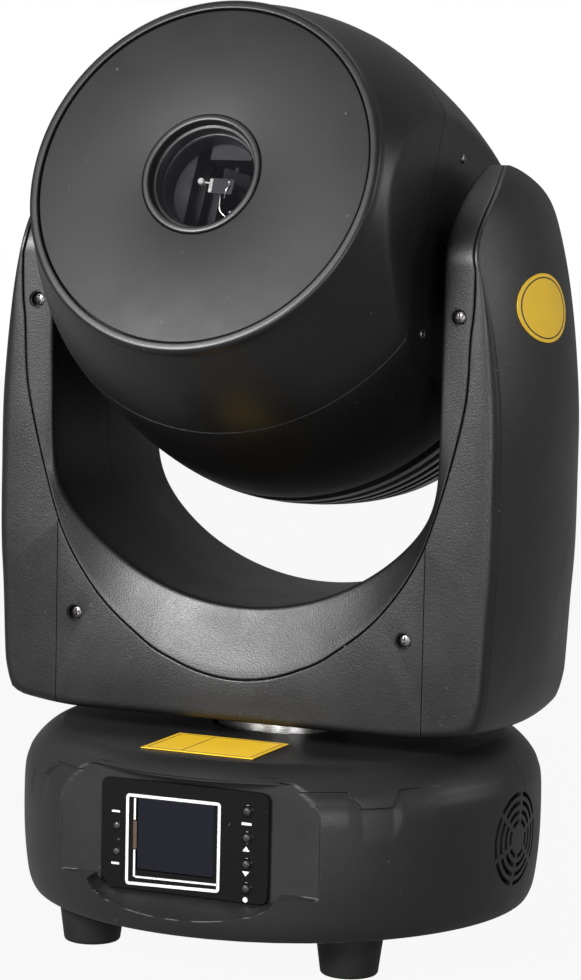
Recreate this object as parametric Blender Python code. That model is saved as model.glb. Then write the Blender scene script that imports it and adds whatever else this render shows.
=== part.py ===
"""Laser moving head: a round base, a U-shaped yoke that pans on it, and a head that tilts in the yoke.

Metres, +Z up. The front faces -Y. The origin is on the pan axis, at the underside of the base plate.
Head pieces are drawn upright about the optical axis (local +Z) and hang on an empty on the tilt axis.
"""

import math

import bmesh
import bpy
from mathutils import Matrix, Vector

# General sizes
GAP = 0.0003
WALL = 0.0025
SCREEN_GAP = 0.0004

# Base
FOOT_HEIGHT = 0.019
FOOT_TOP_RADIUS = 0.0155
FOOT_BOTTOM_RADIUS = 0.013
FOOT_X = 0.0651
FOOT_Y = 0.0701
BASE_RADIUS = 0.1228
BASE_TOP_RIM_RADIUS = 0.105
BASE_HEIGHT = 0.079
BASE_SKIRT = 0.003
BASE_PLATE_THICKNESS = 0.0025
BRACKET_HOLE_RADIUS = 0.004
BRACKET_HOLE_X = 0.085
BRACKET_HOLE_Y = 0.030
PANEL_PLANE = 0.104
RECESS_HALF_WIDTH = 0.0645
RECESS_FLOOR = 0.021
RECESS_CEILING = 0.0725
SCOOP_HALF_WIDTH = 0.044
SCOOP_WALL_DEPTH = 0.0056
SCOOP_DEPTH = 0.0155
VENT_Y = -0.009
VENT_Z = 0.037
VENT_SLOT = 0.0032
VENT_RINGS = (0.0210, 0.0150)
VENT_SPOKES = 5

# Control panel
PANEL_LEFT = -0.043
PANEL_RIGHT = 0.040
PANEL_BOTTOM = 0.0165
PANEL_TOP = 0.067
PANEL_THICKNESS = 0.0017
SCREEN_LEFT = -0.0295
SCREEN_RIGHT = 0.0135
SCREEN_BOTTOM = 0.0198
SCREEN_TOP = 0.0576
BUTTON_X = 0.0295
BUTTON_HEIGHTS = (0.058, 0.046, 0.034, 0.023)
BUTTON_RADIUS = 0.002
BUTTON_TRAVEL = 0.0008
BUTTON_PROUD = 0.0012
LAMP_X = -0.035
LAMP_HEIGHTS = (0.045, 0.033)
LAMP_RADIUS = 0.0017

# Rear connectors
SOCKET_HEIGHT = 0.042
SOCKET_DEPTH = 0.017
INLET_X = -0.036
INLET_HALF = (0.0135, 0.010)
SIGNAL_X = (0.004, 0.036)
SIGNAL_RADIUS = 0.0095
CONNECTOR_PLATE_HALF_WIDTH = 0.060
CONNECTOR_PLATE_TOP = 0.064
FLANGE_THICKNESS = 0.002

# Supply and fan in the base, the supply as two opposite corners on the plate
SUPPLY_LOW = (-0.001, 0.0505)
SUPPLY_HIGH = (0.069, 0.0855, 0.036)
BASE_FAN_FROM_WALL = 0.0233

# Pan drive
SHAFT_BORE_RADIUS = 0.012
SHAFT_RADIUS = 0.0237
COLLAR_RADIUS = 0.032
COLLAR_CLEARANCE = 0.0025
HOUSING_RADIUS = 0.040
BEARING_OUTER_RADIUS = 0.0357
BEARING_BOTTOM = 0.034
BEARING_HEIGHT = 0.012
PULLEY_BOTTOM = 0.050
PULLEY_HEIGHT = 0.008
PAN_PULLEY_RADIUS = 0.042
MOTOR_PULLEY_RADIUS = 0.008
MOTOR_SHAFT_RADIUS = 0.0025
PAN_MOTOR_SIDE = 0.035
PAN_MOTOR_HEIGHT = 0.0412
PAN_MOTOR_X = -0.060
PAN_MOTOR_Y = 0.060
BELT_THICKNESS = 0.0015
BELT_WIDTH = 0.006

# Yoke
YOKE_BOTTOM = 0.0874
ARM_TOP = 0.345
DOME_START = 0.301
YOKE_HALF_DEPTH = 0.0585
COVER_SEAM_X = 0.0923
YOKE_WALL = 0.0024
SIDE_ARC_RADIUS = 0.145
CORNER_ROUND = 0.005
LEAST_COVER_FACE = 0.002
U_CENTRE_Z = 0.2553
U_RADIUS = 0.1149
ARM_INNER_X = 0.097
SADDLE_EDGE_Y = 0.050
ARM_EDGE_Y = 0.057
TILT_HEIGHT = 0.2958
TILT_SHAFT_RADIUS = 0.010
TILT_BEARING_RADIUS = 0.0157
FRAME_PLATE_X = 0.1005
FRAME_THICKNESS = 0.003
FRAME_WIDTH = 0.050
TILT_MOTOR_SIDE = 0.042
TILT_MOTOR_HEIGHT = 0.130
TILT_MOTOR_LENGTH = 0.040
TILT_PULLEY_X = 0.106
TILT_PULLEY_RADIUS = 0.030

# The yoke's seam line (the bead) and its outer side, as (x, height) from the middle to the right arm's top
SEAM_CURVE = (
    (0.0, 0.1075),
    (0.033, 0.115),
    (0.052, 0.126),
    (0.071, 0.1425),
    (0.088, 0.167),
    (0.099, 0.197),
    (0.109, 0.237),
    (0.111, 0.268),
    (0.1125, 0.290),
    (0.1120, 0.360),
)
SIDE_CURVE = (
    (0.0, 0.0874),
    (0.100, 0.0874),
    (0.1185, 0.0895),
    (0.1225, 0.095),
    (0.1262, 0.107),
    (0.1325, 0.151),
    (0.1345, 0.199),
    (0.1345, 0.236),
    (0.1315, 0.283),
    (0.1255, 0.320),
    (0.1150, 0.346),
    (0.1000, 0.362),
)
TURN_ANGLES = (0, 10, 20, 28, 34, 37, 42, 50, 58, 66, 74, 82, 90)
ARM_STATIONS = (0.14, 0.31, 0.44, 0.51, 0.63, 0.75, 0.84, 0.91, 0.96, 0.985, 1.0)

# Head, along the optical axis from the tilt axis
REST_TILT = math.radians(22.6)
HEAD_FRONT = 0.1128
HEAD_REAR = -0.120
HEAD_SEAM = 0.0575
HEAD_RIM_RADIUS = 0.082
HEAD_LIP = 0.003
HEAD_FLAT_X = 0.0867
HEAD_WALL = 0.0025
DISC_THICKNESS = 0.0025
DISC_DEPTH = 0.001
APERTURE_RADIUS = 0.028
APERTURE_BORE = 0.0235
LOUVRE_COUNT = 5
LOUVRE_FIRST = -0.030
LOUVRE_PITCH = 0.0145
LOUVRE_WIDTH = 0.0055
LOUVRE_HALF_ANGLE = math.radians(62)
CHASSIS_FRONT = 0.051
CHASSIS_THICKNESS = 0.003
LASER_SIDE = 0.060
LASER_LENGTH = 0.085
SINK_LENGTH = 0.020
SINK_FINS = 9
FAN_SIDE = 0.050
FAN_THICKNESS = 0.012
FAN_BORE_RADIUS = 0.0225
FAN_STRUT_THICKNESS = 0.0022
FAN_HUB_RADIUS = 0.009
FAN_BLADES = 5
BLADE_REACH = 0.0205
BLADE_HALF_WIDTH = 0.004
BLADE_HALF_THICKNESS = 0.0006
BLADE_PITCH = math.radians(32)
MIRROR_THICKNESS = 0.001
BEAM_X = 0.004
LOWER_MIRROR_Z = 0.066
UPPER_MIRROR_Y = 0.0085
UPPER_MIRROR_Z = 0.085
MIRROR_PIN_RADIUS = 0.0012

# Stickers
STICKER_THICKNESS = 0.0003
TOP_STICKER_WIDTH = 0.0555
TOP_STICKER_DEPTH = 0.0405
TOP_STICKER_Y = -0.075
ARM_STICKER_HALF_DEPTH = 0.026
ARM_STICKER_HALF_HEIGHT = 0.016
ARM_STICKER_Y = -0.020
ARM_STICKER_Z = 0.2835

# Farther than any piece reaches
FAR = 0.4


def clear_scene():
    """Starts from an empty scene."""
    for old in list(bpy.data.objects):
        bpy.data.objects.remove(old, do_unlink=True)


def material(name, colour, roughness, metallic=0.0):
    """A Principled material with one colour."""
    made = bpy.data.materials.new(name)
    made.use_nodes = True
    shader = made.node_tree.nodes["Principled BSDF"]
    shader.inputs["Base Color"].default_value = (*colour, 1.0)
    shader.inputs["Roughness"].default_value = roughness
    shader.inputs["Metallic"].default_value = metallic
    return made


def add_object(name, bm, finish, parent=None):
    """Links the bmesh as one closed, outward-facing object."""
    bmesh.ops.remove_doubles(bm, verts=bm.verts, dist=1e-7)
    bmesh.ops.recalc_face_normals(bm, faces=bm.faces)
    mesh = bpy.data.meshes.new(name)
    bm.to_mesh(mesh)
    bm.free()
    mesh.materials.append(finish)
    made = bpy.data.objects.new(name, mesh)
    bpy.context.collection.objects.link(made)
    mesh.shade_smooth()
    mesh.set_sharp_from_angle(angle=math.radians(35))
    made.parent = parent
    return made


def as_tool(tool):
    """Marks an object as a cutter, which isn't part of the model."""
    tool.hide_render = True
    tool.display_type = "WIRE"
    return tool


def boolean(target, tool, operation):
    """Adds a Boolean to the target and hides the tool it uses."""
    as_tool(tool)
    modifier = target.modifiers.new(tool.name, "BOOLEAN")
    modifier.operation = operation
    modifier.solver = "EXACT"
    modifier.object = tool
    return target


def empty(name, location, rotation=(0, 0, 0), parent=None):
    """A plain axis that moving pieces hang on."""
    made = bpy.data.objects.new(name, None)
    bpy.context.collection.objects.link(made)
    made.location = location
    made.rotation_euler = rotation
    made.parent = parent
    return made


def loft(name, rings, finish, parent=None):
    """Joins rings of equally many points, and closes the first and last with a face."""
    bm = bmesh.new()
    rows = [[bm.verts.new(point) for point in ring] for ring in rings]
    count = len(rows[0])
    for low, high in zip(rows, rows[1:]):
        for i in range(count):
            j = (i + 1) % count
            bm.faces.new((low[i], low[j], high[j], high[i]))
    bm.faces.new(rows[0])
    bm.faces.new(rows[-1])
    return add_object(name, bm, finish, parent)


def box(name, low, high, finish, parent=None):
    """A block between two opposite corners."""
    return prism(name, rectangle(low[:2], high[:2]), "Z", low[2], high[2], finish, parent)


def rectangle(low, high):
    """A rectangle's outline between two opposite corners."""
    (x0, z0), (x1, z1) = low, high
    return [(x0, z0), (x1, z0), (x1, z1), (x0, z1)]


def place(axis, first, second, along):
    """A point from two coordinates across an axis and one along it."""
    if axis == "X":
        return (along, first, second)
    if axis == "Y":
        return (first, along, second)
    return (first, second, along)


def prism(name, outline, axis, low, high, finish, parent=None):
    """An outline across an axis, extruded from low to high along it."""
    rings = [[place(axis, a, b, along) for a, b in outline] for along in (low, high)]
    return loft(name, rings, finish, parent)


def circle(radius, count, centre=(0.0, 0.0)):
    """Points evenly round a circle."""
    turn = 2 * math.pi / count
    return [
        (centre[0] + radius * math.cos(i * turn), centre[1] + radius * math.sin(i * turn))
        for i in range(count)
    ]


def ellipse(half_width, half_height, count, centre):
    """Points evenly round an ellipse."""
    return [(centre[0] + half_width * x, centre[1] + half_height * y) for x, y in circle(1.0, count)]


def cylinder(name, radius, axis, low, high, finish, centre=(0.0, 0.0), count=20, parent=None):
    """A round bar along an axis."""
    return prism(name, circle(radius, count, centre), axis, low, high, finish, parent)


def turned(
    name, profile, finish, count=32, axis="Z", centre=(0.0, 0.0), start=0.0, sweep=2 * math.pi, parent=None
):
    """A closed outline of (radius, height), turned about an axis, all the way or through a sweep."""
    bm = bmesh.new()
    whole = sweep > 2 * math.pi - 1e-6
    steps = count if whole else count + 1
    rows = []
    for i in range(steps):
        angle = start + sweep * i / count
        ring = [
            place(axis, centre[0] + r * math.cos(angle), centre[1] + r * math.sin(angle), height)
            for r, height in profile
        ]
        rows.append([bm.verts.new(point) for point in ring])
    pairs = zip(rows, rows[1:] + rows[:1]) if whole else zip(rows, rows[1:])
    points = len(profile)
    for here, there in pairs:
        for i in range(points):
            j = (i + 1) % points
            bm.faces.new((here[i], here[j], there[j], there[i]))
    if not whole:
        bm.faces.new(rows[0])
        bm.faces.new(rows[-1])
    bmesh.ops.remove_doubles(bm, verts=bm.verts, dist=1e-7)
    bmesh.ops.dissolve_degenerate(bm, dist=1e-7, edges=bm.edges)
    return add_object(name, bm, finish, parent)


def ring(name, bore, radius, low, high, finish, **where):
    """A round washer or tube."""
    return turned(name, [(bore, low), (radius, low), (radius, high), (bore, high)], finish, **where)


def joined(name, tools, finish, parent=None):
    """One mesh holding several closed cutters that don't meet."""
    bm = bmesh.new()
    for tool in tools:
        bm.from_mesh(tool.data)
        bpy.data.objects.remove(tool, do_unlink=True)
    return add_object(name, bm, finish, parent)


def belt_outline(near, near_radius, far, far_radius, count=14):
    """The loop of a belt round two pulleys, at the given radii."""
    across = Vector(far) - Vector(near)
    heading = math.atan2(across.y, across.x)
    lean = math.acos((near_radius - far_radius) / across.length)
    points = []
    for i in range(2 * count + 1):
        angle = heading + lean + (math.pi - lean) * i / count
        points.append((near[0] + near_radius * math.cos(angle), near[1] + near_radius * math.sin(angle)))
    for i in range(count + 1):
        angle = heading - lean + 2 * lean * i / count
        points.append((far[0] + far_radius * math.cos(angle), far[1] + far_radius * math.sin(angle)))
    return points


def belt(name, axis, near, near_radius, far, far_radius, low, finish, parent=None):
    """A flat toothless belt round two pulleys, clear of both."""
    inner = 2 * GAP
    outer = inner + BELT_THICKNESS
    whole = belt_outline(near, near_radius + outer, far, far_radius + outer)
    hole = belt_outline(near, near_radius + inner, far, far_radius + inner)
    made = prism(name, whole, axis, low, low + BELT_WIDTH, finish, parent)
    cutter = prism(name + "_cut", hole, axis, low - WALL, low + BELT_WIDTH + WALL, finish, parent)
    return boolean(made, cutter, "DIFFERENCE")


def base_outline(inset=0.0):
    """The base's side from its bottom edge up to the rim of its flat top, as (radius, height)."""
    radius = BASE_RADIUS - inset
    rim = BASE_TOP_RIM_RADIUS - inset
    height = BASE_HEIGHT - inset
    side = [
        (radius - 0.0053, -BASE_SKIRT),
        (radius - 0.0038, -BASE_SKIRT + 0.002),
        (radius - 0.0018, 0.009),
        (radius, 0.030),
        (radius, BASE_HEIGHT - 0.024),
        (radius - 0.0018, BASE_HEIGHT - 0.015),
        (radius - 0.0045, BASE_HEIGHT - 0.010),
        (radius - 0.0085, BASE_HEIGHT - 0.0055),
    ]
    return side + [(rim + 0.005, height - 0.0015), (rim, height)]


def base_pocket(shell, side, round_body, depth_below, finish):
    """Sinks a flat-backed recess into one side of a base shell, with walls round it."""
    back = PANEL_PLANE - WALL - GAP * 2
    near, far = sorted((side * back, side * FAR))
    half = RECESS_HALF_WIDTH + WALL
    floor = RECESS_FLOOR - depth_below - WALL
    block = box(
        shell.name + "_pocket", (-half, near, floor), (half, far, RECESS_CEILING + WALL), finish
    )
    boolean(block, round_body, "INTERSECT")
    boolean(shell, block, "UNION")
    near, far = sorted((side * PANEL_PLANE, side * FAR))
    recess = box(
        shell.name + "_recess",
        (-RECESS_HALF_WIDTH, near, RECESS_FLOOR),
        (RECESS_HALF_WIDTH, far, RECESS_CEILING),
        finish,
    )
    return boolean(shell, recess, "DIFFERENCE")


def scoop_ring(y, depth, squareness):
    """Half a rounded shape hanging from the recess floor: an ellipse at 2, nearly a box at 10."""
    steps = 16
    points = []
    for i in range(steps + 1):
        angle = math.pi * i / steps
        across = math.copysign(abs(math.cos(angle)) ** (2 / squareness), math.cos(angle))
        down = abs(math.sin(angle)) ** (2 / squareness)
        points.append((SCOOP_HALF_WIDTH * across, y, RECESS_FLOOR + GAP - depth * down))
    top = RECESS_FLOOR + WALL
    return [(SCOOP_HALF_WIDTH, y, top)] + points[1:-1] + [(-SCOOP_HALF_WIDTH, y, top)]


def vent_slots(name, side, finish):
    """Arc slots in rings about the vent's centre, parted by spokes."""
    tools = []
    sector = 2 * math.pi / VENT_SPOKES
    steps = 3
    for number, outer in enumerate(VENT_RINGS):
        bridge = 0.0022 / outer
        for spoke in range(VENT_SPOKES):
            start = spoke * sector + bridge
            span = sector - 2 * bridge
            angles = [start + span * i / steps for i in range(steps + 1)]
            inner = outer - VENT_SLOT
            outline = [(VENT_Y + outer * math.cos(a), VENT_Z + outer * math.sin(a)) for a in angles]
            outline += [
                (VENT_Y + inner * math.cos(a), VENT_Z + inner * math.sin(a)) for a in reversed(angles)
            ]
            low, high = sorted((side * (BASE_RADIUS - 0.015), side * (BASE_RADIUS + 0.010)))
            tools.append(prism(f"{name}_{number}_{spoke}", outline, "X", low, high, finish))
    return joined(name, tools, finish)


def base_shells(plastic):
    """The two half shells of the base, with recesses, vents and the hole for the neck."""
    collar_hole = COLLAR_RADIUS + COLLAR_CLEARANCE
    inner = [(r, z) for r, z in reversed(base_outline(WALL))]
    section = base_outline() + [(collar_hole, BASE_HEIGHT), (collar_hole, BASE_HEIGHT - WALL)] + inner
    solid = base_outline() + [(0.0, BASE_HEIGHT), (0.0, -BASE_SKIRT)]
    count = 48
    round_body = as_tool(turned("base_round_body", solid, plastic, count=count))
    vents = [vent_slots(f"vent_slots_{side}", side, plastic) for side in (1, -1)]
    for name, side, depth_below in (("base_front_shell", -1, SCOOP_DEPTH), ("base_back_shell", 1, 0.0)):
        shell = turned(name, section, plastic, count=count)
        base_pocket(shell, side, round_body, depth_below, plastic)
        if side < 0:
            scoop = loft(
                "scoop",
                [
                    scoop_ring(-PANEL_PLANE, SCOOP_WALL_DEPTH, 10),
                    scoop_ring(-BASE_RADIUS - WALL, SCOOP_DEPTH, 2),
                ],
                plastic,
            )
            boolean(shell, scoop, "DIFFERENCE")
        else:
            boolean(shell, socket_holes("wall_socket_holes", 0.0008, plastic), "DIFFERENCE")
        for vent in vents:
            boolean(shell, vent, "DIFFERENCE")
        near, far = sorted((side * GAP / 2, side * FAR))
        half = box(name + "_half", (-FAR, near, -FAR), (FAR, far, FAR), plastic)
        boolean(shell, half, "INTERSECT")


def base_plate_and_feet(steel, rubber):
    """The steel plate that closes the underside, its bracket holes, and four rubber feet under it."""
    radius = BASE_RADIUS - 0.0053 - WALL - 2 * GAP
    plate = cylinder("base_plate", radius, "Z", 0.0, BASE_PLATE_THICKNESS, steel, count=48)
    low, high = -WALL, BASE_PLATE_THICKNESS + WALL
    holes = [
        cylinder("bracket_hole", BRACKET_HOLE_RADIUS, "Z", low, high, steel, centre=(x, y))
        for x in (-BRACKET_HOLE_X, BRACKET_HOLE_X)
        for y in (-BRACKET_HOLE_Y, BRACKET_HOLE_Y)
    ]
    boolean(plate, joined("bracket_holes", holes, steel), "DIFFERENCE")
    number = 0
    for x in (-FOOT_X, FOOT_X):
        for y in (-FOOT_Y, FOOT_Y):
            number += 1
            levels = ((FOOT_BOTTOM_RADIUS, -FOOT_HEIGHT), (FOOT_TOP_RADIUS, -GAP))
            rings = [[(px, py, z) for px, py in circle(r, 20, (x, y))] for r, z in levels]
            loft(f"foot_{number}", rings, rubber)


def rounded_rectangle(low, high, radius, steps=4):
    """A rectangle's outline with round corners."""
    (x0, z0), (x1, z1) = low, high
    centres = (
        (x1 - radius, z0 + radius, -90),
        (x1 - radius, z1 - radius, 0),
        (x0 + radius, z1 - radius, 90),
        (x0 + radius, z0 + radius, 180),
    )
    points = []
    for cx, cz, start in centres:
        for i in range(steps + 1):
            angle = math.radians(start + 90 * i / steps)
            points.append((cx + radius * math.cos(angle), cz + radius * math.sin(angle)))
    return points


def control_panel(gloss, glass, rubber, lamp, board):
    """The gloss panel with its screen, buttons, lamps, and the circuit board behind the wall."""
    back = -PANEL_PLANE - GAP
    front = back - PANEL_THICKNESS
    panel_outline = rounded_rectangle((PANEL_LEFT, PANEL_BOTTOM), (PANEL_RIGHT, PANEL_TOP), 0.0045)
    panel = prism("control_panel", panel_outline, "Y", front, back, gloss)
    low, high = front - WALL, back + WALL
    window = ((SCREEN_LEFT, SCREEN_BOTTOM), (SCREEN_RIGHT, SCREEN_TOP))
    tools = [prism("window", rounded_rectangle(*window, 0.001, 2), "Y", low, high, gloss)]
    for number, height in enumerate(BUTTON_HEIGHTS, 1):
        hole = circle(BUTTON_RADIUS + GAP, 16, (BUTTON_X, height))
        tools.append(prism("button_hole", hole, "Y", low, high, gloss))
        pivot = empty(f"button_{number}_slide", (BUTTON_X, front, height))
        cylinder(
            f"button_{number}",
            BUTTON_RADIUS,
            "Y",
            -BUTTON_PROUD,
            PANEL_THICKNESS - BUTTON_TRAVEL,
            rubber,
            count=16,
            parent=pivot,
        )
    for number, height in enumerate(LAMP_HEIGHTS, 1):
        hole = circle(LAMP_RADIUS + GAP, 16, (LAMP_X, height))
        tools.append(prism("lamp_hole", hole, "Y", low, high, gloss))
        cylinder(
            f"indicator_{number}", LAMP_RADIUS, "Y", front - GAP, back, lamp, (LAMP_X, height), 16
        )
    boolean(panel, joined("panel_holes", tools, gloss), "DIFFERENCE")
    box(
        "lcd_screen",
        (SCREEN_LEFT + SCREEN_GAP, front + 0.0005, SCREEN_BOTTOM + SCREEN_GAP),
        (SCREEN_RIGHT - SCREEN_GAP, back, SCREEN_TOP - SCREEN_GAP),
        glass,
    )
    board_front = -PANEL_PLANE + WALL + 3 * GAP
    box(
        "control_board",
        (PANEL_LEFT, board_front, PANEL_BOTTOM),
        (PANEL_RIGHT, board_front + 0.0016, RECESS_CEILING - 2 * WALL),
        board,
    )


def fan_frame(name, axis, centre, low, bottom, finish, parent=None):
    """A square fan frame with a round bore and a cross of struts that carries the rotor."""
    half = FAN_SIDE / 2
    across, up = centre
    high = low + FAN_THICKNESS
    outline = rectangle((across - half, bottom), (across + half, up + half))
    made = prism(name, outline, axis, low, high, finish, parent)
    bore = circle(FAN_BORE_RADIUS, 28, centre)
    boolean(made, prism(name + "_bore", bore, axis, low - WALL, high + WALL, finish, parent), "DIFFERENCE")
    for number, (half_across, half_up) in enumerate(((1.0, 0.065), (0.065, 1.0))):
        reach_across = half_across * (FAN_BORE_RADIUS + 0.001)
        reach_up = half_up * (FAN_BORE_RADIUS + 0.001)
        bar = rectangle((across - reach_across, up - reach_up), (across + reach_across, up + reach_up))
        strut_high = low + FAN_STRUT_THICKNESS - GAP
        tool = prism(f"{name}_strut_{number}", bar, axis, low + GAP, strut_high, finish, parent)
        boolean(made, tool, "UNION")
    boss = cylinder(
        name + "_boss", FAN_HUB_RADIUS - 0.001, axis, low, low + FAN_STRUT_THICKNESS, finish, centre, 16, parent
    )
    return boolean(made, boss, "UNION")


def fan_rotor(name, axis, finish, parent):
    """A hub with pitched blades, clear of the struts and centred on its own axis."""
    low = FAN_STRUT_THICKNESS + GAP
    high = FAN_THICKNESS - 2 * GAP
    hub = cylinder(name, FAN_HUB_RADIUS, axis, low, high, finish, count=20, parent=parent)
    lift = Matrix.Translation(place(axis, 0.0, 0.0, (low + high) / 2))
    root = FAN_HUB_RADIUS - 0.002
    if axis == "Z":
        low_corner = (root, -BLADE_HALF_WIDTH, -BLADE_HALF_THICKNESS)
        high_corner = (BLADE_REACH, BLADE_HALF_WIDTH, BLADE_HALF_THICKNESS)
        pitch = Matrix.Rotation(BLADE_PITCH, 4, "X")
    else:
        low_corner = (-BLADE_HALF_THICKNESS, root, -BLADE_HALF_WIDTH)
        high_corner = (BLADE_HALF_THICKNESS, BLADE_REACH, BLADE_HALF_WIDTH)
        pitch = Matrix.Rotation(BLADE_PITCH, 4, "Y")
    blades = []
    for number in range(FAN_BLADES):
        turn = Matrix.Rotation(2 * math.pi * number / FAN_BLADES, 4, axis)
        blade = box(f"{name}_blade_{number}", low_corner, high_corner, finish)
        blade.data.transform(lift @ turn @ pitch)
        blades.append(blade)
    return boolean(hub, joined(name + "_blades", blades, finish, parent), "UNION")


def fans_and_supply(steel, plastic):
    """The base's fan behind the side vent, and the power supply on the plate."""
    floor = BASE_PLATE_THICKNESS + GAP
    fan_low = BASE_RADIUS - BASE_FAN_FROM_WALL
    fan_frame("base_fan_frame", "X", (VENT_Y, VENT_Z), fan_low, floor, plastic)
    hub = empty("base_fan_axis", (fan_low, VENT_Y, VENT_Z))
    fan_rotor("base_fan_rotor", "X", plastic, hub)
    box("power_supply", (*SUPPLY_LOW, floor), SUPPLY_HIGH, steel)


def socket_holes(name, clearance, finish):
    """Holes for the power inlet and the two signal sockets, through plate and wall."""
    low, high = PANEL_PLANE - 0.010, PANEL_PLANE + 0.010
    half_x = INLET_HALF[0] + clearance
    half_z = INLET_HALF[1] + clearance
    tools = [
        box(
            name + "_inlet",
            (INLET_X - half_x, low, SOCKET_HEIGHT - half_z),
            (INLET_X + half_x, high, SOCKET_HEIGHT + half_z),
            finish,
        )
    ]
    for x in SIGNAL_X:
        tools.append(
            cylinder(name + "_signal", SIGNAL_RADIUS + clearance, "Y", low, high, finish, (x, SOCKET_HEIGHT))
        )
    return joined(name, tools, finish)


def rear_connectors(steel, plastic):
    """The rear connector plate with a power inlet and two round signal sockets."""
    plate_low = PANEL_PLANE + GAP
    plate_high = plate_low + FLANGE_THICKNESS
    plate = box(
        "connector_plate",
        (-CONNECTOR_PLATE_HALF_WIDTH, plate_low, RECESS_FLOOR + GAP),
        (CONNECTOR_PLATE_HALF_WIDTH, plate_high, CONNECTOR_PLATE_TOP),
        steel,
    )
    boolean(plate, socket_holes("plate_socket_holes", 0.0005, steel), "DIFFERENCE")
    flange_low = plate_high + GAP
    flange_high = flange_low + FLANGE_THICKNESS
    inner = plate_low - SOCKET_DEPTH
    half_x, half_z = INLET_HALF
    inlet = box(
        "power_inlet",
        (INLET_X - half_x, inner, SOCKET_HEIGHT - half_z),
        (INLET_X + half_x, flange_high, SOCKET_HEIGHT + half_z),
        plastic,
    )
    flange = box(
        "inlet_flange",
        (INLET_X - half_x - 0.006, flange_low, SOCKET_HEIGHT - half_z - 0.003),
        (INLET_X + half_x + 0.006, flange_high - GAP / 3, SOCKET_HEIGHT + half_z + 0.003),
        plastic,
    )
    boolean(inlet, flange, "UNION")
    hollow = box(
        "inlet_hollow",
        (INLET_X - half_x + WALL, inner + 0.004, SOCKET_HEIGHT - half_z + WALL),
        (INLET_X + half_x - WALL, FAR, SOCKET_HEIGHT + half_z - WALL),
        plastic,
    )
    boolean(inlet, hollow, "DIFFERENCE")
    for name, x in zip(("signal_in", "signal_out"), SIGNAL_X):
        centre = (x, SOCKET_HEIGHT)
        socket = cylinder(name, SIGNAL_RADIUS, "Y", inner, flange_high, plastic, centre, 24)
        flange = box(
            name + "_flange",
            (x - 0.0125, flange_low, SOCKET_HEIGHT - 0.0145),
            (x + 0.0125, flange_high - GAP / 3, SOCKET_HEIGHT + 0.0145),
            plastic,
        )
        boolean(socket, flange, "UNION")
        hollow = cylinder(
            name + "_hollow", SIGNAL_RADIUS - 0.0015, "Y", inner + 0.004, FAR, plastic, centre, 24
        )
        boolean(socket, hollow, "DIFFERENCE")


def pan_drive(steel, plastic, rubber, chrome):
    """The bearing housing and motor in the base, and the hollow shaft with its pulley."""
    floor = BASE_PLATE_THICKNESS + GAP
    bearing_top = BEARING_BOTTOM + BEARING_HEIGHT
    seat = BEARING_OUTER_RADIUS + GAP
    section = [
        (seat, floor),
        (HOUSING_RADIUS + 0.010, floor),
        (HOUSING_RADIUS + 0.010, floor + 0.003),
        (HOUSING_RADIUS, floor + 0.003),
        (HOUSING_RADIUS, bearing_top),
        (seat, bearing_top),
        (seat, BEARING_BOTTOM - GAP),
        (SHAFT_RADIUS + 0.003, BEARING_BOTTOM - GAP),
        (SHAFT_RADIUS + 0.003, BEARING_BOTTOM - 0.004),
        (seat, BEARING_BOTTOM - 0.004),
    ]
    turned("pan_bearing_housing", section, steel, count=28)
    bore = SHAFT_RADIUS + GAP
    ring("pan_bearing", bore, BEARING_OUTER_RADIUS, BEARING_BOTTOM, bearing_top, chrome, count=36)
    collar_low = PULLEY_BOTTOM + PULLEY_HEIGHT + 0.003
    shaft = [
        (SHAFT_BORE_RADIUS, BEARING_BOTTOM - 0.006),
        (SHAFT_RADIUS, BEARING_BOTTOM - 0.006),
        (SHAFT_RADIUS, collar_low),
        (COLLAR_RADIUS, collar_low),
        (COLLAR_RADIUS, YOKE_BOTTOM - GAP),
        (SHAFT_RADIUS, YOKE_BOTTOM - GAP),
        (SHAFT_RADIUS, YOKE_BOTTOM + YOKE_WALL + 0.003),
        (SHAFT_BORE_RADIUS, YOKE_BOTTOM + YOKE_WALL + 0.003),
    ]
    turned("pan_shaft", shaft, chrome, count=36)
    pulley_top = PULLEY_BOTTOM + PULLEY_HEIGHT
    ring("pan_pulley", bore, PAN_PULLEY_RADIUS, PULLEY_BOTTOM, pulley_top, plastic, count=36)
    half = PAN_MOTOR_SIDE / 2
    centre = (PAN_MOTOR_X, PAN_MOTOR_Y)
    motor = box(
        "pan_motor",
        (centre[0] - half, centre[1] - half, floor),
        (centre[0] + half, centre[1] + half, floor + PAN_MOTOR_HEIGHT),
        steel,
    )
    axle = cylinder(
        "pan_motor_axle", MOTOR_SHAFT_RADIUS, "Z", floor + GAP, pulley_top + 0.002, steel, centre, 16
    )
    boolean(motor, axle, "UNION")
    pivot = empty("pan_motor_axis", (*centre, 0.0))
    ring(
        "pan_motor_pulley",
        MOTOR_SHAFT_RADIUS + GAP,
        MOTOR_PULLEY_RADIUS,
        PULLEY_BOTTOM,
        pulley_top,
        steel,
        count=24,
        parent=pivot,
    )
    low = PULLEY_BOTTOM + (PULLEY_HEIGHT - BELT_WIDTH) / 2
    belt("pan_belt", "Z", (0.0, 0.0), PAN_PULLEY_RADIUS, centre, MOTOR_PULLEY_RADIUS, low, rubber)


def top_sticker(yellow):
    """A plain yellow sticker on the base's flat top, in front of the neck."""
    low = BASE_HEIGHT + GAP
    half_x = TOP_STICKER_WIDTH / 2
    half_y = TOP_STICKER_DEPTH / 2
    box(
        "base_sticker",
        (-half_x - 0.0012, TOP_STICKER_Y - half_y, low),
        (half_x - 0.0012, TOP_STICKER_Y + half_y, low + STICKER_THICKNESS),
        yellow,
    )


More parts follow.
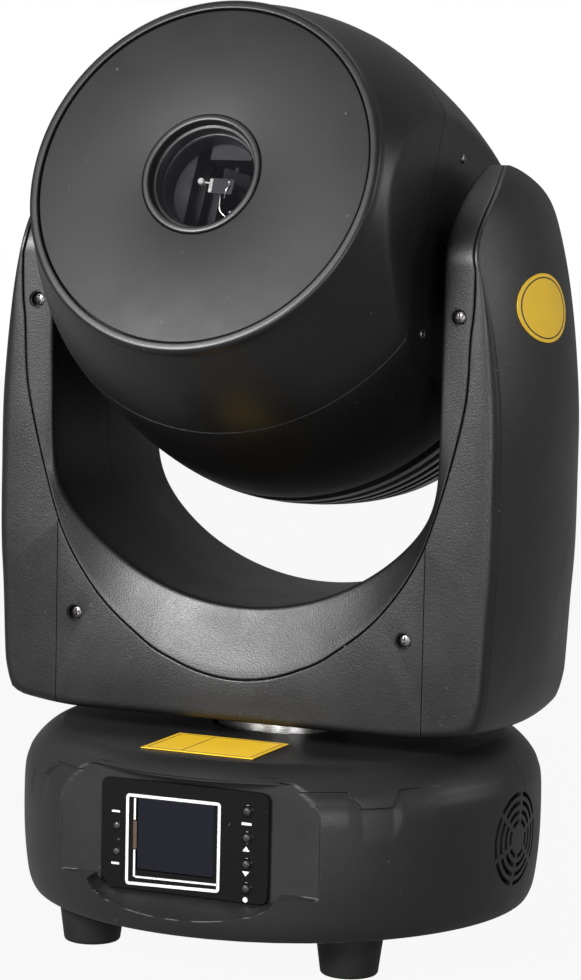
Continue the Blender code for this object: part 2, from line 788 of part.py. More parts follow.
def reach(origin, heading, curve):
    """How far a line runs from its origin before it crosses the curve."""
    ox, oz = origin
    dx, dz = heading
    for (ax, az), (bx, bz) in zip(curve, curve[1:]):
        ex, ez = bx - ax, bz - az
        cross = dx * ez - dz * ex
        if abs(cross) < 1e-12:
            continue
        along = ((ax - ox) * ez - (az - oz) * ex) / cross
        share = ((ax - ox) * dz - (az - oz) * dx) / cross
        if -1e-6 <= share <= 1 + 1e-6 and along > 0:
            return along
    raise ValueError("the line misses the curve")


def ease(value, start, end):
    """Rises smoothly from 0 at the start to 1 at the end."""
    share = min(max((value - start) / (end - start), 0.0), 1.0)
    return share * share * (3 - 2 * share)


def rounded_curve(curve, steps=4):
    """A smooth curve through the points, level and level-sided at its two ends."""
    ends = [(-curve[1][0], curve[1][1])] + list(curve) + [curve[-1]]
    made = []
    for a, b, c, d in zip(ends, ends[1:], ends[2:], ends[3:]):
        for i in range(steps):
            t = i / steps
            made.append(
                tuple(
                    0.5 * (2 * q + (r - p) * t)
                    + 0.5 * (2 * p - 5 * q + 4 * r - s) * t ** 2
                    + 0.5 * (3 * q - p - 3 * r + s) * t ** 3
                    for p, q, r, s in zip(a, b, c, d)
                )
            )
    return made + [curve[-1]]


def yoke_stations(top):
    """The yoke's section lines from the middle to the right arm's top: (origin, heading, turn, height)."""
    stations = []
    for degrees in TURN_ANGLES:
        angle = math.radians(degrees)
        stations.append(((0.0, U_CENTRE_Z), (math.sin(angle), -math.cos(angle)), angle, U_CENTRE_Z))
    for share in ARM_STATIONS:
        height = U_CENTRE_Z + (top - U_CENTRE_Z) * share
        stations.append(((0.0, height), (1.0, 0.0), math.pi / 2, height))
    return stations


def dome(height):
    """How much of the arm's depth is left at a height, a superellipse over the arm's top."""
    share = max(height - DOME_START, 0.0) / (ARM_TOP - DOME_START)
    return max(1 - share ** 3, 0.0) ** (1 / 3)


def yoke_section(origin, heading, angle, height, inset=0.0):
    """One half-section as (y, distance along the heading) points, its tip, and the seam's distance."""
    arm = math.sin(angle)
    inner = U_RADIUS
    if arm > 0:
        inner = (U_RADIUS ** -24 + (ARM_INNER_X / arm) ** -24) ** (-1 / 24)
    inner += inset
    side = reach(origin, heading, rounded_curve(SIDE_CURVE)) - inset
    depth = YOKE_HALF_DEPTH * dome(height) - inset
    turned_up = ease(math.degrees(angle), 30, 75)
    edge = (SADDLE_EDGE_Y + (ARM_EDGE_Y - SADDLE_EDGE_Y) * turned_up) * dome(height) - inset
    bulge = ease(math.degrees(angle), 25, 50)

    def outer(y):
        return side - bulge * (SIDE_ARC_RADIUS - math.sqrt(SIDE_ARC_RADIUS ** 2 - y * y))

    seam = min(reach(origin, heading, rounded_curve(SEAM_CURVE)), outer(depth) - LEAST_COVER_FACE)
    corner = min(CORNER_ROUND, 0.45 * (outer(depth) - seam))
    half = [
        (edge, inner),
        (depth, seam),
        (depth, outer(depth) - corner),
        (depth - 0.29 * corner, outer(depth) - 0.29 * corner),
        (depth - corner, outer(depth - corner)),
        (0.5 * depth, outer(0.5 * depth)),
    ]
    return half, (0.0, outer(0.0)), seam


def yoke_solid(name, inset, finish):
    """The whole U as one solid, its faces moved inwards by the inset."""
    right = []
    for station in yoke_stations(ARM_TOP - 0.0002 - 2 * max(inset, 0.0)):
        half, tip, _ = yoke_section(*station, inset)
        outline = [(-y, n) for y, n in half] + [tip] + [(y, n) for y, n in reversed(half)]
        (ox, oz), (dx, dz) = station[0], station[1]
        right.append([(ox + n * dx, y, oz + n * dz) for y, n in outline])
    left = [[(-x, y, z) for x, y, z in section] for section in reversed(right[1:])]
    return loft(name, left + right, finish)


def seam_prism(name, offset, finish, low=-FAR, high=FAR):
    """Everything on the inner side of the seam curve, moved out by the offset."""
    right = []
    for station in yoke_stations(ARM_TOP):
        seam = yoke_section(*station)[2] + offset
        (ox, oz), (dx, dz) = station[0], station[1]
        right.append((ox + seam * dx, oz + seam * dz))
    right.append((right[-1][0], FAR))
    left = [(-x, z) for x, z in reversed(right[1:])]
    return prism(name, left + right, "Y", low, high, finish)


def yoke_shells(plastic):
    """Front and back covers, the inner fairing in two halves, and the two arm covers."""
    hollow = as_tool(yoke_solid("yoke_hollow", YOKE_WALL, plastic))
    outside_seam = as_tool(seam_prism("outside_seam", GAP / 2, plastic))
    shaft_hole = as_tool(
        cylinder("shaft_hole", SHAFT_RADIUS + 2 * GAP, "Z", 0.0, YOKE_BOTTOM + 0.01, plastic, count=40)
    )
    tilt_hole = as_tool(
        cylinder("tilt_hole", TILT_SHAFT_RADIUS + 0.002, "X", -FAR, FAR, plastic, (0.0, TILT_HEIGHT), 28)
    )
    for name, side in (("yoke_front_cover", -1), ("yoke_back_cover", 1)):
        near, far = sorted((side * GAP / 2, side * FAR))
        cover = boolean(yoke_solid(name, 0.0, plastic), hollow, "DIFFERENCE")
        half = COVER_SEAM_X - GAP / 2
        region = box(name + "_region", (-half, near, 0.0), (half, far, U_CENTRE_Z), plastic)
        boolean(cover, region, "INTERSECT")
        boolean(cover, shaft_hole, "DIFFERENCE")
        boolean(cover, outside_seam, "DIFFERENCE")
    for name, side in (("yoke_inner_front", -1), ("yoke_inner_back", 1)):
        near, far = sorted((side * GAP / 2, side * FAR))
        fairing = boolean(yoke_solid(name, 0.0, plastic), hollow, "DIFFERENCE")
        boolean(fairing, seam_prism(name + "_region", -GAP / 2, plastic, near, far), "INTERSECT")
        boolean(fairing, tilt_hole, "DIFFERENCE")
    for name, side in (("arm_cover_right", 1), ("arm_cover_left", -1)):
        near, far = sorted((side * (COVER_SEAM_X + GAP / 2), side * FAR))
        cover = boolean(yoke_solid(name, 0.0, plastic), hollow, "DIFFERENCE")
        region = box(name + "_region", (near, -FAR, 0.0), (far, FAR, FAR), plastic)
        boolean(cover, region, "INTERSECT")
        boolean(cover, outside_seam, "DIFFERENCE")


def arm_sticker(yellow):
    """A plain yellow oval that follows the right arm's curved side."""
    sticker = yoke_solid("arm_sticker", -GAP - STICKER_THICKNESS, yellow)
    outline = ellipse(ARM_STICKER_HALF_DEPTH, ARM_STICKER_HALF_HEIGHT, 32, (ARM_STICKER_Y, ARM_STICKER_Z))
    boolean(sticker, prism("sticker_outline", outline, "X", 0.12, FAR, yellow), "INTERSECT")
    boolean(sticker, yoke_solid("sticker_back", -GAP, yellow), "DIFFERENCE")


def yoke_frame(steel):
    """The steel U inside the yoke: a floor over the pan shaft and two uprights for the tilt bearings."""
    floor = YOKE_BOTTOM + YOKE_WALL + 0.003 + GAP
    outer = FRAME_PLATE_X + FRAME_THICKNESS
    top = TILT_HEIGHT + 0.022
    bend = floor + 0.012
    foot = outer - 0.013
    right = [
        (foot, floor),
        (outer, bend),
        (outer, top),
        (FRAME_PLATE_X, top),
        (FRAME_PLATE_X, bend + 0.0012),
        (foot - 0.0012, floor + FRAME_THICKNESS),
    ]
    outline = right + [(-x, z) for x, z in reversed(right)]
    frame = prism("yoke_frame", outline, "Y", -FRAME_WIDTH / 2, FRAME_WIDTH / 2, steel)
    near = FRAME_PLATE_X - 0.01
    far = outer + 0.01
    seat = TILT_BEARING_RADIUS + GAP
    centre = (0.0, TILT_HEIGHT)
    axle_hole = MOTOR_SHAFT_RADIUS + 0.0035
    tools = [
        cylinder("cable_hole", SHAFT_BORE_RADIUS, "Z", 0.0, bend, steel, count=24),
        cylinder("left_bearing_hole", seat, "X", -far, -near, steel, centre, 28),
        cylinder("right_bearing_hole", seat, "X", near, far, steel, centre, 28),
        cylinder("axle_hole", axle_hole, "X", near, far, steel, (0.0, TILT_MOTOR_HEIGHT)),
    ]
    boolean(frame, joined("frame_holes", tools, steel), "DIFFERENCE")


def tilt_drive(steel, rubber, chrome, head):
    """Bearings, motor and belt in the arms, and the head's shafts, the right one with its pulley."""
    bearing_low = FRAME_PLATE_X - 0.0005
    bearing_high = TILT_PULLEY_X - GAP
    bore = TILT_SHAFT_RADIUS + GAP
    centre = (0.0, TILT_HEIGHT)
    for name, side in (("tilt_bearing_right", 1), ("tilt_bearing_left", -1)):
        low, high = sorted((side * bearing_low, side * bearing_high))
        ring(name, bore, TILT_BEARING_RADIUS, low, high, chrome, count=28, axis="X", centre=centre)
    pulley_high = TILT_PULLEY_X + PULLEY_HEIGHT
    half = TILT_MOTOR_SIDE / 2
    face = FRAME_PLATE_X - GAP
    motor = box(
        "tilt_motor",
        (face - TILT_MOTOR_LENGTH, -half, TILT_MOTOR_HEIGHT - half),
        (face, half, TILT_MOTOR_HEIGHT + half),
        steel,
    )
    axle_centre = (0.0, TILT_MOTOR_HEIGHT)
    axle = cylinder(
        "tilt_motor_axle", MOTOR_SHAFT_RADIUS, "X", face - 0.01, pulley_high + 0.001, steel, axle_centre, 16
    )
    boolean(motor, axle, "UNION")
    pivot = empty("tilt_motor_axis", (0.0, 0.0, TILT_MOTOR_HEIGHT))
    ring(
        "tilt_motor_pulley",
        MOTOR_SHAFT_RADIUS + GAP,
        MOTOR_PULLEY_RADIUS,
        TILT_PULLEY_X,
        pulley_high,
        steel,
        count=24,
        axis="X",
        parent=pivot,
    )
    low = TILT_PULLEY_X + (PULLEY_HEIGHT - BELT_WIDTH) / 2
    belt("tilt_belt", "X", centre, TILT_PULLEY_RADIUS, axle_centre, MOTOR_PULLEY_RADIUS, low, rubber)
    flange_low = HEAD_FLAT_X + GAP
    flange_high = flange_low + 0.003
    pulley = [
        (TILT_SHAFT_RADIUS, TILT_PULLEY_X),
        (TILT_PULLEY_RADIUS, TILT_PULLEY_X),
        (TILT_PULLEY_RADIUS, pulley_high),
        (TILT_SHAFT_RADIUS, pulley_high),
    ]
    for name, side, end, rim in (
        ("tilt_shaft_right", 1, pulley_high + 0.001, pulley),
        ("tilt_shaft_left", -1, bearing_high + 0.001, []),
    ):
        section = [
            (TILT_SHAFT_RADIUS / 2, side * flange_low),
            (0.022, side * flange_low),
            (0.022, side * flange_high),
            (TILT_SHAFT_RADIUS, side * flange_high),
            *rim,
            (TILT_SHAFT_RADIUS, side * end),
            (TILT_SHAFT_RADIUS / 2, side * end),
        ]
        turned(name, section, steel, count=24, axis="X", parent=head)


def head_outline(inset=0.0):
    """The head's round side from its rear edge to the front rim, as (radius, distance along the axis)."""
    side = (
        (0.076, HEAD_REAR),
        (0.079, HEAD_REAR + 0.003),
        (0.0875, -0.095),
        (0.0972, -0.065),
        (0.1046, -0.035),
        (0.1064, -0.005),
        (0.1052, 0.025),
        (0.1018, HEAD_SEAM),
        (0.0937, 0.085),
        (HEAD_RIM_RADIUS + 0.0018, HEAD_FRONT - 0.0035),
        (HEAD_RIM_RADIUS, HEAD_FRONT),
    )
    low = HEAD_REAR + inset
    return [(r - inset, max(z, low)) for r, z in side]


def head_solid(name, inset, finish, head):
    """The closed head, flat at both sides, its faces moved inwards by the inset."""
    side = head_outline(inset)
    if inset:
        side = side[:-2] + [(HEAD_RIM_RADIUS - inset, HEAD_FRONT - 0.009)]
    section = [(0.0, side[0][1])] + side + [(0.0, side[-1][1])]
    body = turned(name, section, finish, count=44, parent=head)
    flat = HEAD_FLAT_X - inset
    sides = box(name + "_flats", (-flat, -FAR, -FAR), (flat, FAR, FAR), finish, head)
    return boolean(body, sides, "INTERSECT")


def head_shells(plastic, head):
    """The front shell with its rim, and the rear shell in an upper and a louvred lower half."""
    hollow = as_tool(head_solid("head_hollow", HEAD_WALL, plastic, head))
    seat = HEAD_FRONT - DISC_DEPTH - DISC_THICKNESS - GAP
    mouth_radius = HEAD_RIM_RADIUS - HEAD_LIP
    mouth = turned(
        "head_mouth",
        [
            (0.0, seat - 0.015),
            (mouth_radius - 0.005, seat - 0.015),
            (mouth_radius - 0.005, seat),
            (mouth_radius, seat),
            (mouth_radius, FAR),
            (0.0, FAR),
        ],
        plastic,
        count=44,
        parent=head,
    )
    front = head_solid("head_front_shell", 0.0, plastic, head)
    front_region = box("front_region", (-FAR, -FAR, HEAD_SEAM + GAP / 2), (FAR, FAR, FAR), plastic, head)
    boolean(front, front_region, "INTERSECT")
    boolean(front, hollow, "DIFFERENCE")
    boolean(front, mouth, "DIFFERENCE")
    for name, side in (("head_rear_upper", 1), ("head_rear_lower", -1)):
        near, far = sorted((side * GAP / 2, side * FAR))
        shell = head_solid(name, 0.0, plastic, head)
        region = box(name + "_region", (-FAR, near, -FAR), (FAR, far, HEAD_SEAM - GAP / 2), plastic, head)
        boolean(shell, region, "INTERSECT")
        boolean(shell, hollow, "DIFFERENCE")
        if side < 0:
            tools = []
            for number in range(LOUVRE_COUNT):
                high = LOUVRE_FIRST - number * LOUVRE_PITCH
                low = high - LOUVRE_WIDTH
                section = [(0.080, low), (0.115, low), (0.115, high), (0.080, high)]
                start = -math.pi / 2 - LOUVRE_HALF_ANGLE
                tools.append(
                    turned("louvre", section, plastic, count=8, start=start, sweep=2 * LOUVRE_HALF_ANGLE)
                )
            boolean(shell, joined("louvres", tools, plastic, head), "DIFFERENCE")


def head_front_pieces(plastic, glass, head):
    """The face disc, the ring round the aperture and the window in it."""
    disc_high = HEAD_FRONT - DISC_DEPTH
    disc_low = disc_high - DISC_THICKNESS
    barrel = APERTURE_RADIUS - 0.003
    ring(
        "face_disc",
        barrel + GAP,
        HEAD_RIM_RADIUS - HEAD_LIP - 2 * GAP,
        disc_low,
        disc_high,
        plastic,
        count=44,
        parent=head,
    )
    section = [
        (APERTURE_BORE - 0.0015, disc_low - 0.005),
        (barrel, disc_low - 0.005),
        (barrel, disc_high + GAP),
        (APERTURE_RADIUS, disc_high + GAP),
        (APERTURE_RADIUS, disc_high + 0.0016),
        (APERTURE_BORE + 0.0007, disc_high + 0.0016),
        (APERTURE_BORE + 0.0007, disc_low - 0.002),
        (APERTURE_BORE - 0.0015, disc_low - 0.002),
    ]
    turned("aperture_ring", section, plastic, count=32, parent=head)
    window_low = disc_low - 0.002 + GAP
    radius = APERTURE_BORE + 0.0004
    cylinder("window_glass", radius, "Z", window_low, window_low + 0.0015, glass, count=40, parent=head)


def head_insides(steel, plastic, chrome, board, head):
    """The chassis plate with the laser module, heat sink and fan behind it."""
    chassis_low = CHASSIS_FRONT - CHASSIS_THICKNESS
    half_x = HEAD_FLAT_X - HEAD_WALL - GAP
    chassis = box("head_chassis", (-half_x, -0.050, chassis_low), (half_x, 0.050, CHASSIS_FRONT), steel, head)
    beam_hole = cylinder(
        "beam_hole", 0.006, "Z", chassis_low - WALL, CHASSIS_FRONT + WALL, steel, (BEAM_X, 0.0), parent=head
    )
    boolean(chassis, beam_hole, "DIFFERENCE")
    half = LASER_SIDE / 2
    laser_high = chassis_low - GAP
    laser_low = laser_high - LASER_LENGTH
    box("laser_module", (-half, -half, laser_low), (half, half, laser_high), board, head)
    sink_high = laser_low - GAP
    sink_low = sink_high - SINK_LENGTH
    pitch = LASER_SIDE / (SINK_FINS - 0.5)
    outline = [(half, sink_high), (-half, sink_high)]
    for fin in range(SINK_FINS):
        left = -half + fin * pitch
        right = left + pitch / 2
        outline += [(left, sink_low), (right, sink_low)]
        if fin < SINK_FINS - 1:
            outline += [(right, sink_high - 0.005), (left + pitch, sink_high - 0.005)]
    prism("heat_sink", outline, "Y", -half, half, chrome, head)
    fan_low = sink_low - GAP - FAN_THICKNESS
    fan_frame("head_fan_frame", "Z", (0.0, 0.0), fan_low, -FAN_SIDE / 2, plastic, head)
    hub = empty("head_fan_axis", (0.0, 0.0, fan_low), parent=head)
    fan_rotor("head_fan_rotor", "Z", plastic, hub)


def scanner(steel, mirror, head):
    """The scan block in front of the chassis, and its two small mirrors on their own axes."""
    floor = CHASSIS_FRONT + GAP
    block = box("scan_block", (-0.034, -0.010, floor), (-0.008, 0.010, LOWER_MIRROR_Z + 0.008), steel, head)
    shelf = box("scan_shelf", (-0.033, -0.009, floor + GAP / 3), (0.014, 0.034, 0.054), steel, head)
    post = box("scan_post", (-0.006, 0.024, 0.053), (0.0139, 0.0339, UPPER_MIRROR_Z + 0.0089), steel, head)
    upper = box(
        "scan_upper",
        (-0.0059, 0.014, UPPER_MIRROR_Z - 0.009),
        (0.014, 0.033, UPPER_MIRROR_Z + 0.009),
        steel,
        head,
    )
    beam = cylinder("scan_beam_hole", 0.005, "Z", floor - WALL, 0.056, steel, (BEAM_X, 0.0), parent=head)
    for tool in (shelf, post, upper):
        boolean(block, tool, "UNION")
    boolean(block, beam, "DIFFERENCE")
    half = MIRROR_THICKNESS / 2
    pivot = empty("mirror_lower_axis", (BEAM_X, 0.0, LOWER_MIRROR_Z), parent=head)
    plate = box("scan_mirror_lower", (-0.004, -0.004, -half), (0.005, 0.004, half), mirror, pivot)
    plate.data.transform(Matrix.Rotation(math.radians(45), 4, "X"))
    pin = cylinder("lower_pin", MIRROR_PIN_RADIUS, "X", -0.012 + GAP, -0.0035, mirror, count=12, parent=pivot)
    boolean(plate, pin, "UNION")
    pivot = empty("mirror_upper_axis", (BEAM_X, UPPER_MIRROR_Y, UPPER_MIRROR_Z), parent=head)
    plate = box("scan_mirror_upper", (-0.006, -0.005, -half), (0.006, 0.0035, half), mirror, pivot)
    plate.data.transform(Matrix.Rotation(math.radians(45), 4, "Y"))
    pin = cylinder("upper_pin", MIRROR_PIN_RADIUS, "Y", 0.003, 0.0055 - GAP, mirror, count=12, parent=pivot)
    boolean(plate, pin, "UNION")


def build():
    """Makes every piece of the moving head."""
    clear_scene()
    plastic = material("moulded_black", (0.032, 0.031, 0.032), 0.42)
    gloss = material("gloss_panel", (0.008, 0.007, 0.008), 0.12)
    glass = material("screen_grey", (0.055, 0.055, 0.07), 0.2)
    lamp = material("lamp_lens", (0.12, 0.12, 0.12), 0.3)
    rubber = material("soft_rubber", (0.015, 0.015, 0.015), 0.7)
    steel = material("plated_steel", (0.45, 0.45, 0.46), 0.4, 1.0)
    chrome = material("bright_metal", (0.75, 0.75, 0.76), 0.18, 1.0)
    board = material("circuit_board", (0.02, 0.09, 0.04), 0.5)
    yellow = material("yellow_vinyl", (0.87, 0.50, 0.03), 0.45)
    clear = material("window_pane", (0.02, 0.02, 0.025), 0.05)
    base_shells(plastic)
    base_plate_and_feet(steel, rubber)
    control_panel(gloss, glass, rubber, lamp, board)
    fans_and_supply(steel, plastic)
    rear_connectors(steel, gloss)
    pan_drive(steel, plastic, rubber, chrome)
    top_sticker(yellow)
    yoke_shells(plastic)
    arm_sticker(yellow)
    yoke_frame(steel)
    head = empty("tilt_axis", (0.0, 0.0, TILT_HEIGHT), (math.pi / 2 - REST_TILT, 0.0, 0.0))
    tilt_drive(steel, rubber, chrome, head)
    head_shells(plastic, head)
    head_front_pieces(plastic, clear, head)
    head_insides(steel, plastic, chrome, board, head)
    scanner(steel, chrome, head)


build()
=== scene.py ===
"""Looks of the laser moving head: a round base, a yoke that pans on it, and a head that tilts in the yoke.

Metres, +Z up, the front faces -Y, as in the model that it is laid over.
"""

import bmesh
import bpy
import numpy as np
from mathutils import Matrix


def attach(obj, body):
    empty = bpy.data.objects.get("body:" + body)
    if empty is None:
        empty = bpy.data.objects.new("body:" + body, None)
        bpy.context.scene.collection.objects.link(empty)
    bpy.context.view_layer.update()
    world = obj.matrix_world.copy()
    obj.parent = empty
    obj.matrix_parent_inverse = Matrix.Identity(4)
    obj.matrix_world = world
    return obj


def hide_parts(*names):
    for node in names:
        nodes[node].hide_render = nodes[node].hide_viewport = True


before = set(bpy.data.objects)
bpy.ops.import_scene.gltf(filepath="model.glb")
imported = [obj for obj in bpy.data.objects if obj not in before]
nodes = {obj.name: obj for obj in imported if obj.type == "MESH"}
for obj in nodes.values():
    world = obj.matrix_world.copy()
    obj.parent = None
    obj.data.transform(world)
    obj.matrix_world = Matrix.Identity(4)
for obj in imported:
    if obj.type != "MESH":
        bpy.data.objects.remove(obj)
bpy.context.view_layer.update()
scene = bpy.context.scene


# Camera, floor and lamps. A long lens stands in front, to the right and a little above. The floor is a
# pale sheet that runs out to white, lit by one soft lamp at the left and weaker ones around.
lens_distance, aim_height, floor_height = 1.5, 0.196, -0.0192
azimuth, elevation, roll = np.radians((23.67, 6.0, 1.19))
outward = np.array([np.sin(azimuth), -np.cos(azimuth), 0.0])
back = outward * np.cos(elevation) + [0.0, 0.0, np.sin(elevation)]
level = np.array([np.cos(azimuth), np.sin(azimuth), 0.0])
upright = np.cross(back, level)
right = level * np.cos(roll) + upright * np.sin(roll)
up = upright * np.cos(roll) - level * np.sin(roll)


def put(item, place, *axes):
    """Links an object into the scene at a place, its own X, Y and Z along three directions."""
    stand = np.eye(4)
    stand[:3, :3] = np.column_stack(axes)
    stand[:3, 3] = place
    item.matrix_world = Matrix(stand.tolist())
    scene.collection.objects.link(item)


camera = bpy.data.objects.new("camera", bpy.data.cameras.new("camera"))
put(camera, lens_distance * back + [0.0, 0.0, aim_height], right, up, back)
camera.data.lens = 116.55
camera.data.shift_x = 0.00106
camera.data.shift_y = -0.01335
scene.camera = camera
scene.view_settings.view_transform = "Standard"


def feed(node, sockets):
    """Sets a shader node's inputs from (name, value) pairs, where a value may be another node's output."""
    for name, value in sockets:
        if isinstance(value, bpy.types.NodeSocket):
            node.id_data.links.new(value, node.inputs[name])
        else:
            node.inputs[name].default_value = value


def add_node(tree, kind, sockets, **settings):
    """Adds a shader node, fed from (name, value) pairs, and gives its output."""
    made = tree.nodes.new("ShaderNode" + kind)
    for name, value in settings.items():
        setattr(made, name, value)
    feed(made, sockets)
    return next(output for output in made.outputs if output.enabled)


def rescaled(tree, value, low, high, start=0.0, end=1.0):
    """Brings a value's range, from start to end, to low and high."""
    ranges = [("From Min", start), ("From Max", end), ("To Min", low), ("To Max", high)]
    return add_node(tree, "MapRange", [("Value", value), *ranges])


def seen_directly(tree, glossy):
    """1 for rays from the camera and through glass, a share for rays off gloss, and 0 for scattered light."""
    path = tree.nodes.new("ShaderNodeLightPath")
    seen = add_node(tree, "Math", [(0, path.outputs["Is Glossy Ray"]), (1, glossy)], operation="MULTIPLY")
    for ray in ("Is Camera Ray", "Is Transmission Ray"):
        seen = add_node(tree, "Math", [(0, path.outputs[ray]), (1, seen)], operation="MAXIMUM")
    return seen


world = bpy.data.worlds.new("studio")
world.use_nodes = True
scene.world = world
sky = world.node_tree
bright = rescaled(sky, seen_directly(sky, 0.13), 0.12, 1.0)
feed(sky.nodes["Background"], [("Color", (1.0, 1.0, 1.0, 1.0)), ("Strength", bright)])

bpy.ops.mesh.primitive_plane_add(size=6.0, location=(0.0, 0.0, floor_height))
floor = bpy.context.object
floor.name = "floor"
sheet = bpy.data.materials.new("pale_floor")
sheet.use_nodes = True
tree = sheet.node_tree
paper = tree.nodes["Principled BSDF"]
feed(paper, [("Base Color", (0.05, 0.05, 0.05, 1.0)), ("Roughness", 0.9)])
glow = add_node(tree, "Emission", [("Color", (1.0, 1.0, 1.0, 1.0)), ("Strength", 1.0)])
share = rescaled(tree, seen_directly(tree, 0.32), 0.0, 0.93)
both = add_node(tree, "MixShader", [(0, share), (1, paper.outputs[0]), (2, glow)])
feed(tree.nodes["Material Output"], [("Surface", both)])
floor.data.materials.append(sheet)

for name, place, size, power in (
    ("key_lamp", (-0.45, -1.20, 0.74), 0.45, 34.0),
    ("low_lamp", (0.30, -1.40, 0.14), 0.3, 3.0),
    ("top_lamp", (0.1, 0.2, 1.3), 0.9, 3.5),
    ("right_lamp", (0.95, -1.05, 0.35), 0.45, 7.0),
    ("side_lamp", (1.25, 0.40, 0.60), 0.5, 3.5),
    ("rear_lamp", (-0.9, 0.7, 1.1), 0.7, 6.0),
):
    lamp = bpy.data.objects.new(name, bpy.data.lights.new(name, "AREA"))
    lamp.data.shape = "DISK"
    lamp.data.size = size
    lamp.data.energy = power
    away = np.array(place) - [0.0, 0.0, 0.2]
    away = away / np.linalg.norm(away)
    across = np.cross((0.0, 0.0, 1.0), away)
    across = across / np.linalg.norm(across)
    put(lamp, place, across, np.cross(away, across), away)


# Base shells. The round foot of the lamp: two halves moulded in charcoal ABS with a fine grain, parted at
# the sides. The front half has a flat recess for the panel with a scooped sill, and a lid line with tongues.
def new_finish(name):
    """A new material, with its tree, its shader and the object's coordinates."""
    made = bpy.data.materials.new(name)
    made.use_nodes = True
    tree = made.node_tree
    return made, tree, tree.nodes["Principled BSDF"], tree.nodes.new("ShaderNodeTexCoord").outputs["Object"]


def two_shades(tree, factor, colour, dark, light):
    """Goes from a darker to a lighter share of a colour."""
    ends = [("A", (*[c * dark for c in colour], 1.0)), ("B", (*[c * light for c in colour], 1.0))]
    return add_node(tree, "Mix", [("Factor", factor), *ends], data_type="RGBA")


def noise(tree, place, scale, detail, rough=0.5):
    """Noise with so many waves to the metre."""
    settings = [("Vector", place), ("Scale", scale), ("Detail", detail), ("Roughness", rough)]
    return add_node(tree, "TexNoise", settings)


def plastic(name, colour, roughness, grain, depth, shine=0.5):
    """Grained plastic: fine noise as bump, clouds that shift gloss and shade, and thin specks of dust."""
    made, tree, shader, place = new_finish(name)
    fine = noise(tree, place, 1 / grain, 2.0)
    cloud = noise(tree, place, 22.0, 5.0, 0.65)
    gloss = rescaled(tree, cloud, roughness - 0.05, roughness + 0.07, 0.3, 0.7)
    shade = two_shades(tree, cloud, colour, 0.82, 1.18)
    speck = rescaled(tree, noise(tree, place, 420.0, 1.0), 0.0, 0.25, 0.77, 0.83)
    grey = (0.2, 0.19, 0.18, 1.0)
    dusty = add_node(tree, "Mix", [("Factor", speck), ("A", shade), ("B", grey)], data_type="RGBA")
    bump = add_node(tree, "Bump", [("Height", fine), ("Strength", depth), ("Distance", grain * 0.3)])
    looks = [("Base Color", dusty), ("Roughness", gloss), ("Normal", bump), ("Specular IOR Level", shine)]
    feed(shader, looks)
    return made


def smooth_line(points, steps=12):
    """A Catmull-Rom curve: through each point, with the slope of the chord between its two neighbours."""
    keys = np.array(points, float)
    keys = np.vstack((2 * keys[:1] - keys[1:2], keys, 2 * keys[-1:] - keys[-2:-1]))
    t = (np.arange(steps) / steps)[None, :, None]
    p, q, r, s = (keys[i:len(keys) - 3 + i, None, :] for i in range(4))
    line = 2 * q + (r - p) * t + (2 * p - 5 * q + 4 * r - s) * t ** 2 + (3 * q - p - 3 * r + s) * t ** 3
    return np.vstack((0.5 * line.reshape(-1, keys.shape[1]), keys[-2]))


def grid_of(points, wrap_rows=False, wrap_columns=False, caps=False):
    """Quads between neighbours of a (rows, columns, 3) grid, closed round on itself where it wraps."""
    rows, columns = points.shape[:2]
    number = np.arange(rows * columns).reshape(rows, columns)
    ahead = np.roll(number, -1, 0) if wrap_rows else number[1:]
    here = number if wrap_rows else number[:-1]
    if wrap_columns:
        quads = np.stack((here, np.roll(here, -1, 1), np.roll(ahead, -1, 1), ahead), -1)
    else:
        quads = np.stack((here[:, :-1], here[:, 1:], ahead[:, 1:], ahead[:, :-1]), -1)
    faces = quads.reshape(-1, 4).tolist()
    if caps:
        faces += [number[0].tolist(), number[-1].tolist()]
    return points.reshape(-1, 3), faces


def closed(rings):
    """A grid of rings, each closed on itself, with a cap at both ends."""
    return grid_of(rings, wrap_columns=True, caps=True)


def make_piece(name, grids, finish, body=None, sharp=35.0):
    """One object from grids of points, its faces turned outwards, riding on a body; tools have no body."""
    points = np.vstack([grid[0] for grid in grids])
    starts = np.cumsum([0] + [len(grid[0]) for grid in grids])
    faces = [[start + i for i in face] for start, grid in zip(starts, grids) for face in grid[1]]
    mesh = bpy.data.meshes.new(name)
    mesh.from_pydata(points.tolist(), [], faces)
    shape = bmesh.new()
    shape.from_mesh(mesh)
    bmesh.ops.remove_doubles(shape, verts=shape.verts, dist=1e-6)
    bmesh.ops.dissolve_degenerate(shape, dist=1e-7, edges=shape.edges)
    bmesh.ops.recalc_face_normals(shape, faces=shape.faces)
    shape.to_mesh(mesh)
    shape.free()
    mesh.shade_smooth()
    mesh.set_sharp_from_angle(angle=np.radians(sharp))
    mesh.materials.append(finish)
    made = bpy.data.objects.new(name, mesh)
    scene.collection.objects.link(made)
    if body:
        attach(made, body)
    return made


def settle(piece, sharp=35.0):
    """Applies a piece's modifiers and shades it smooth again between its sharp edges."""
    bpy.context.view_layer.update()
    shape = bpy.data.meshes.new_from_object(piece.evaluated_get(bpy.context.evaluated_depsgraph_get()))
    piece.modifiers.clear()
    piece.data = shape
    shape.shade_smooth()
    shape.set_sharp_from_angle(angle=np.radians(sharp))


def cut(piece, tool, operation="DIFFERENCE", sharp=35.0):
    """Cuts a piece with a tool, which then goes."""
    modifier = piece.modifiers.new("cut", "BOOLEAN")
    modifier.operation = operation
    modifier.object = tool
    settle(piece, sharp)
    bpy.data.objects.remove(tool, do_unlink=True)


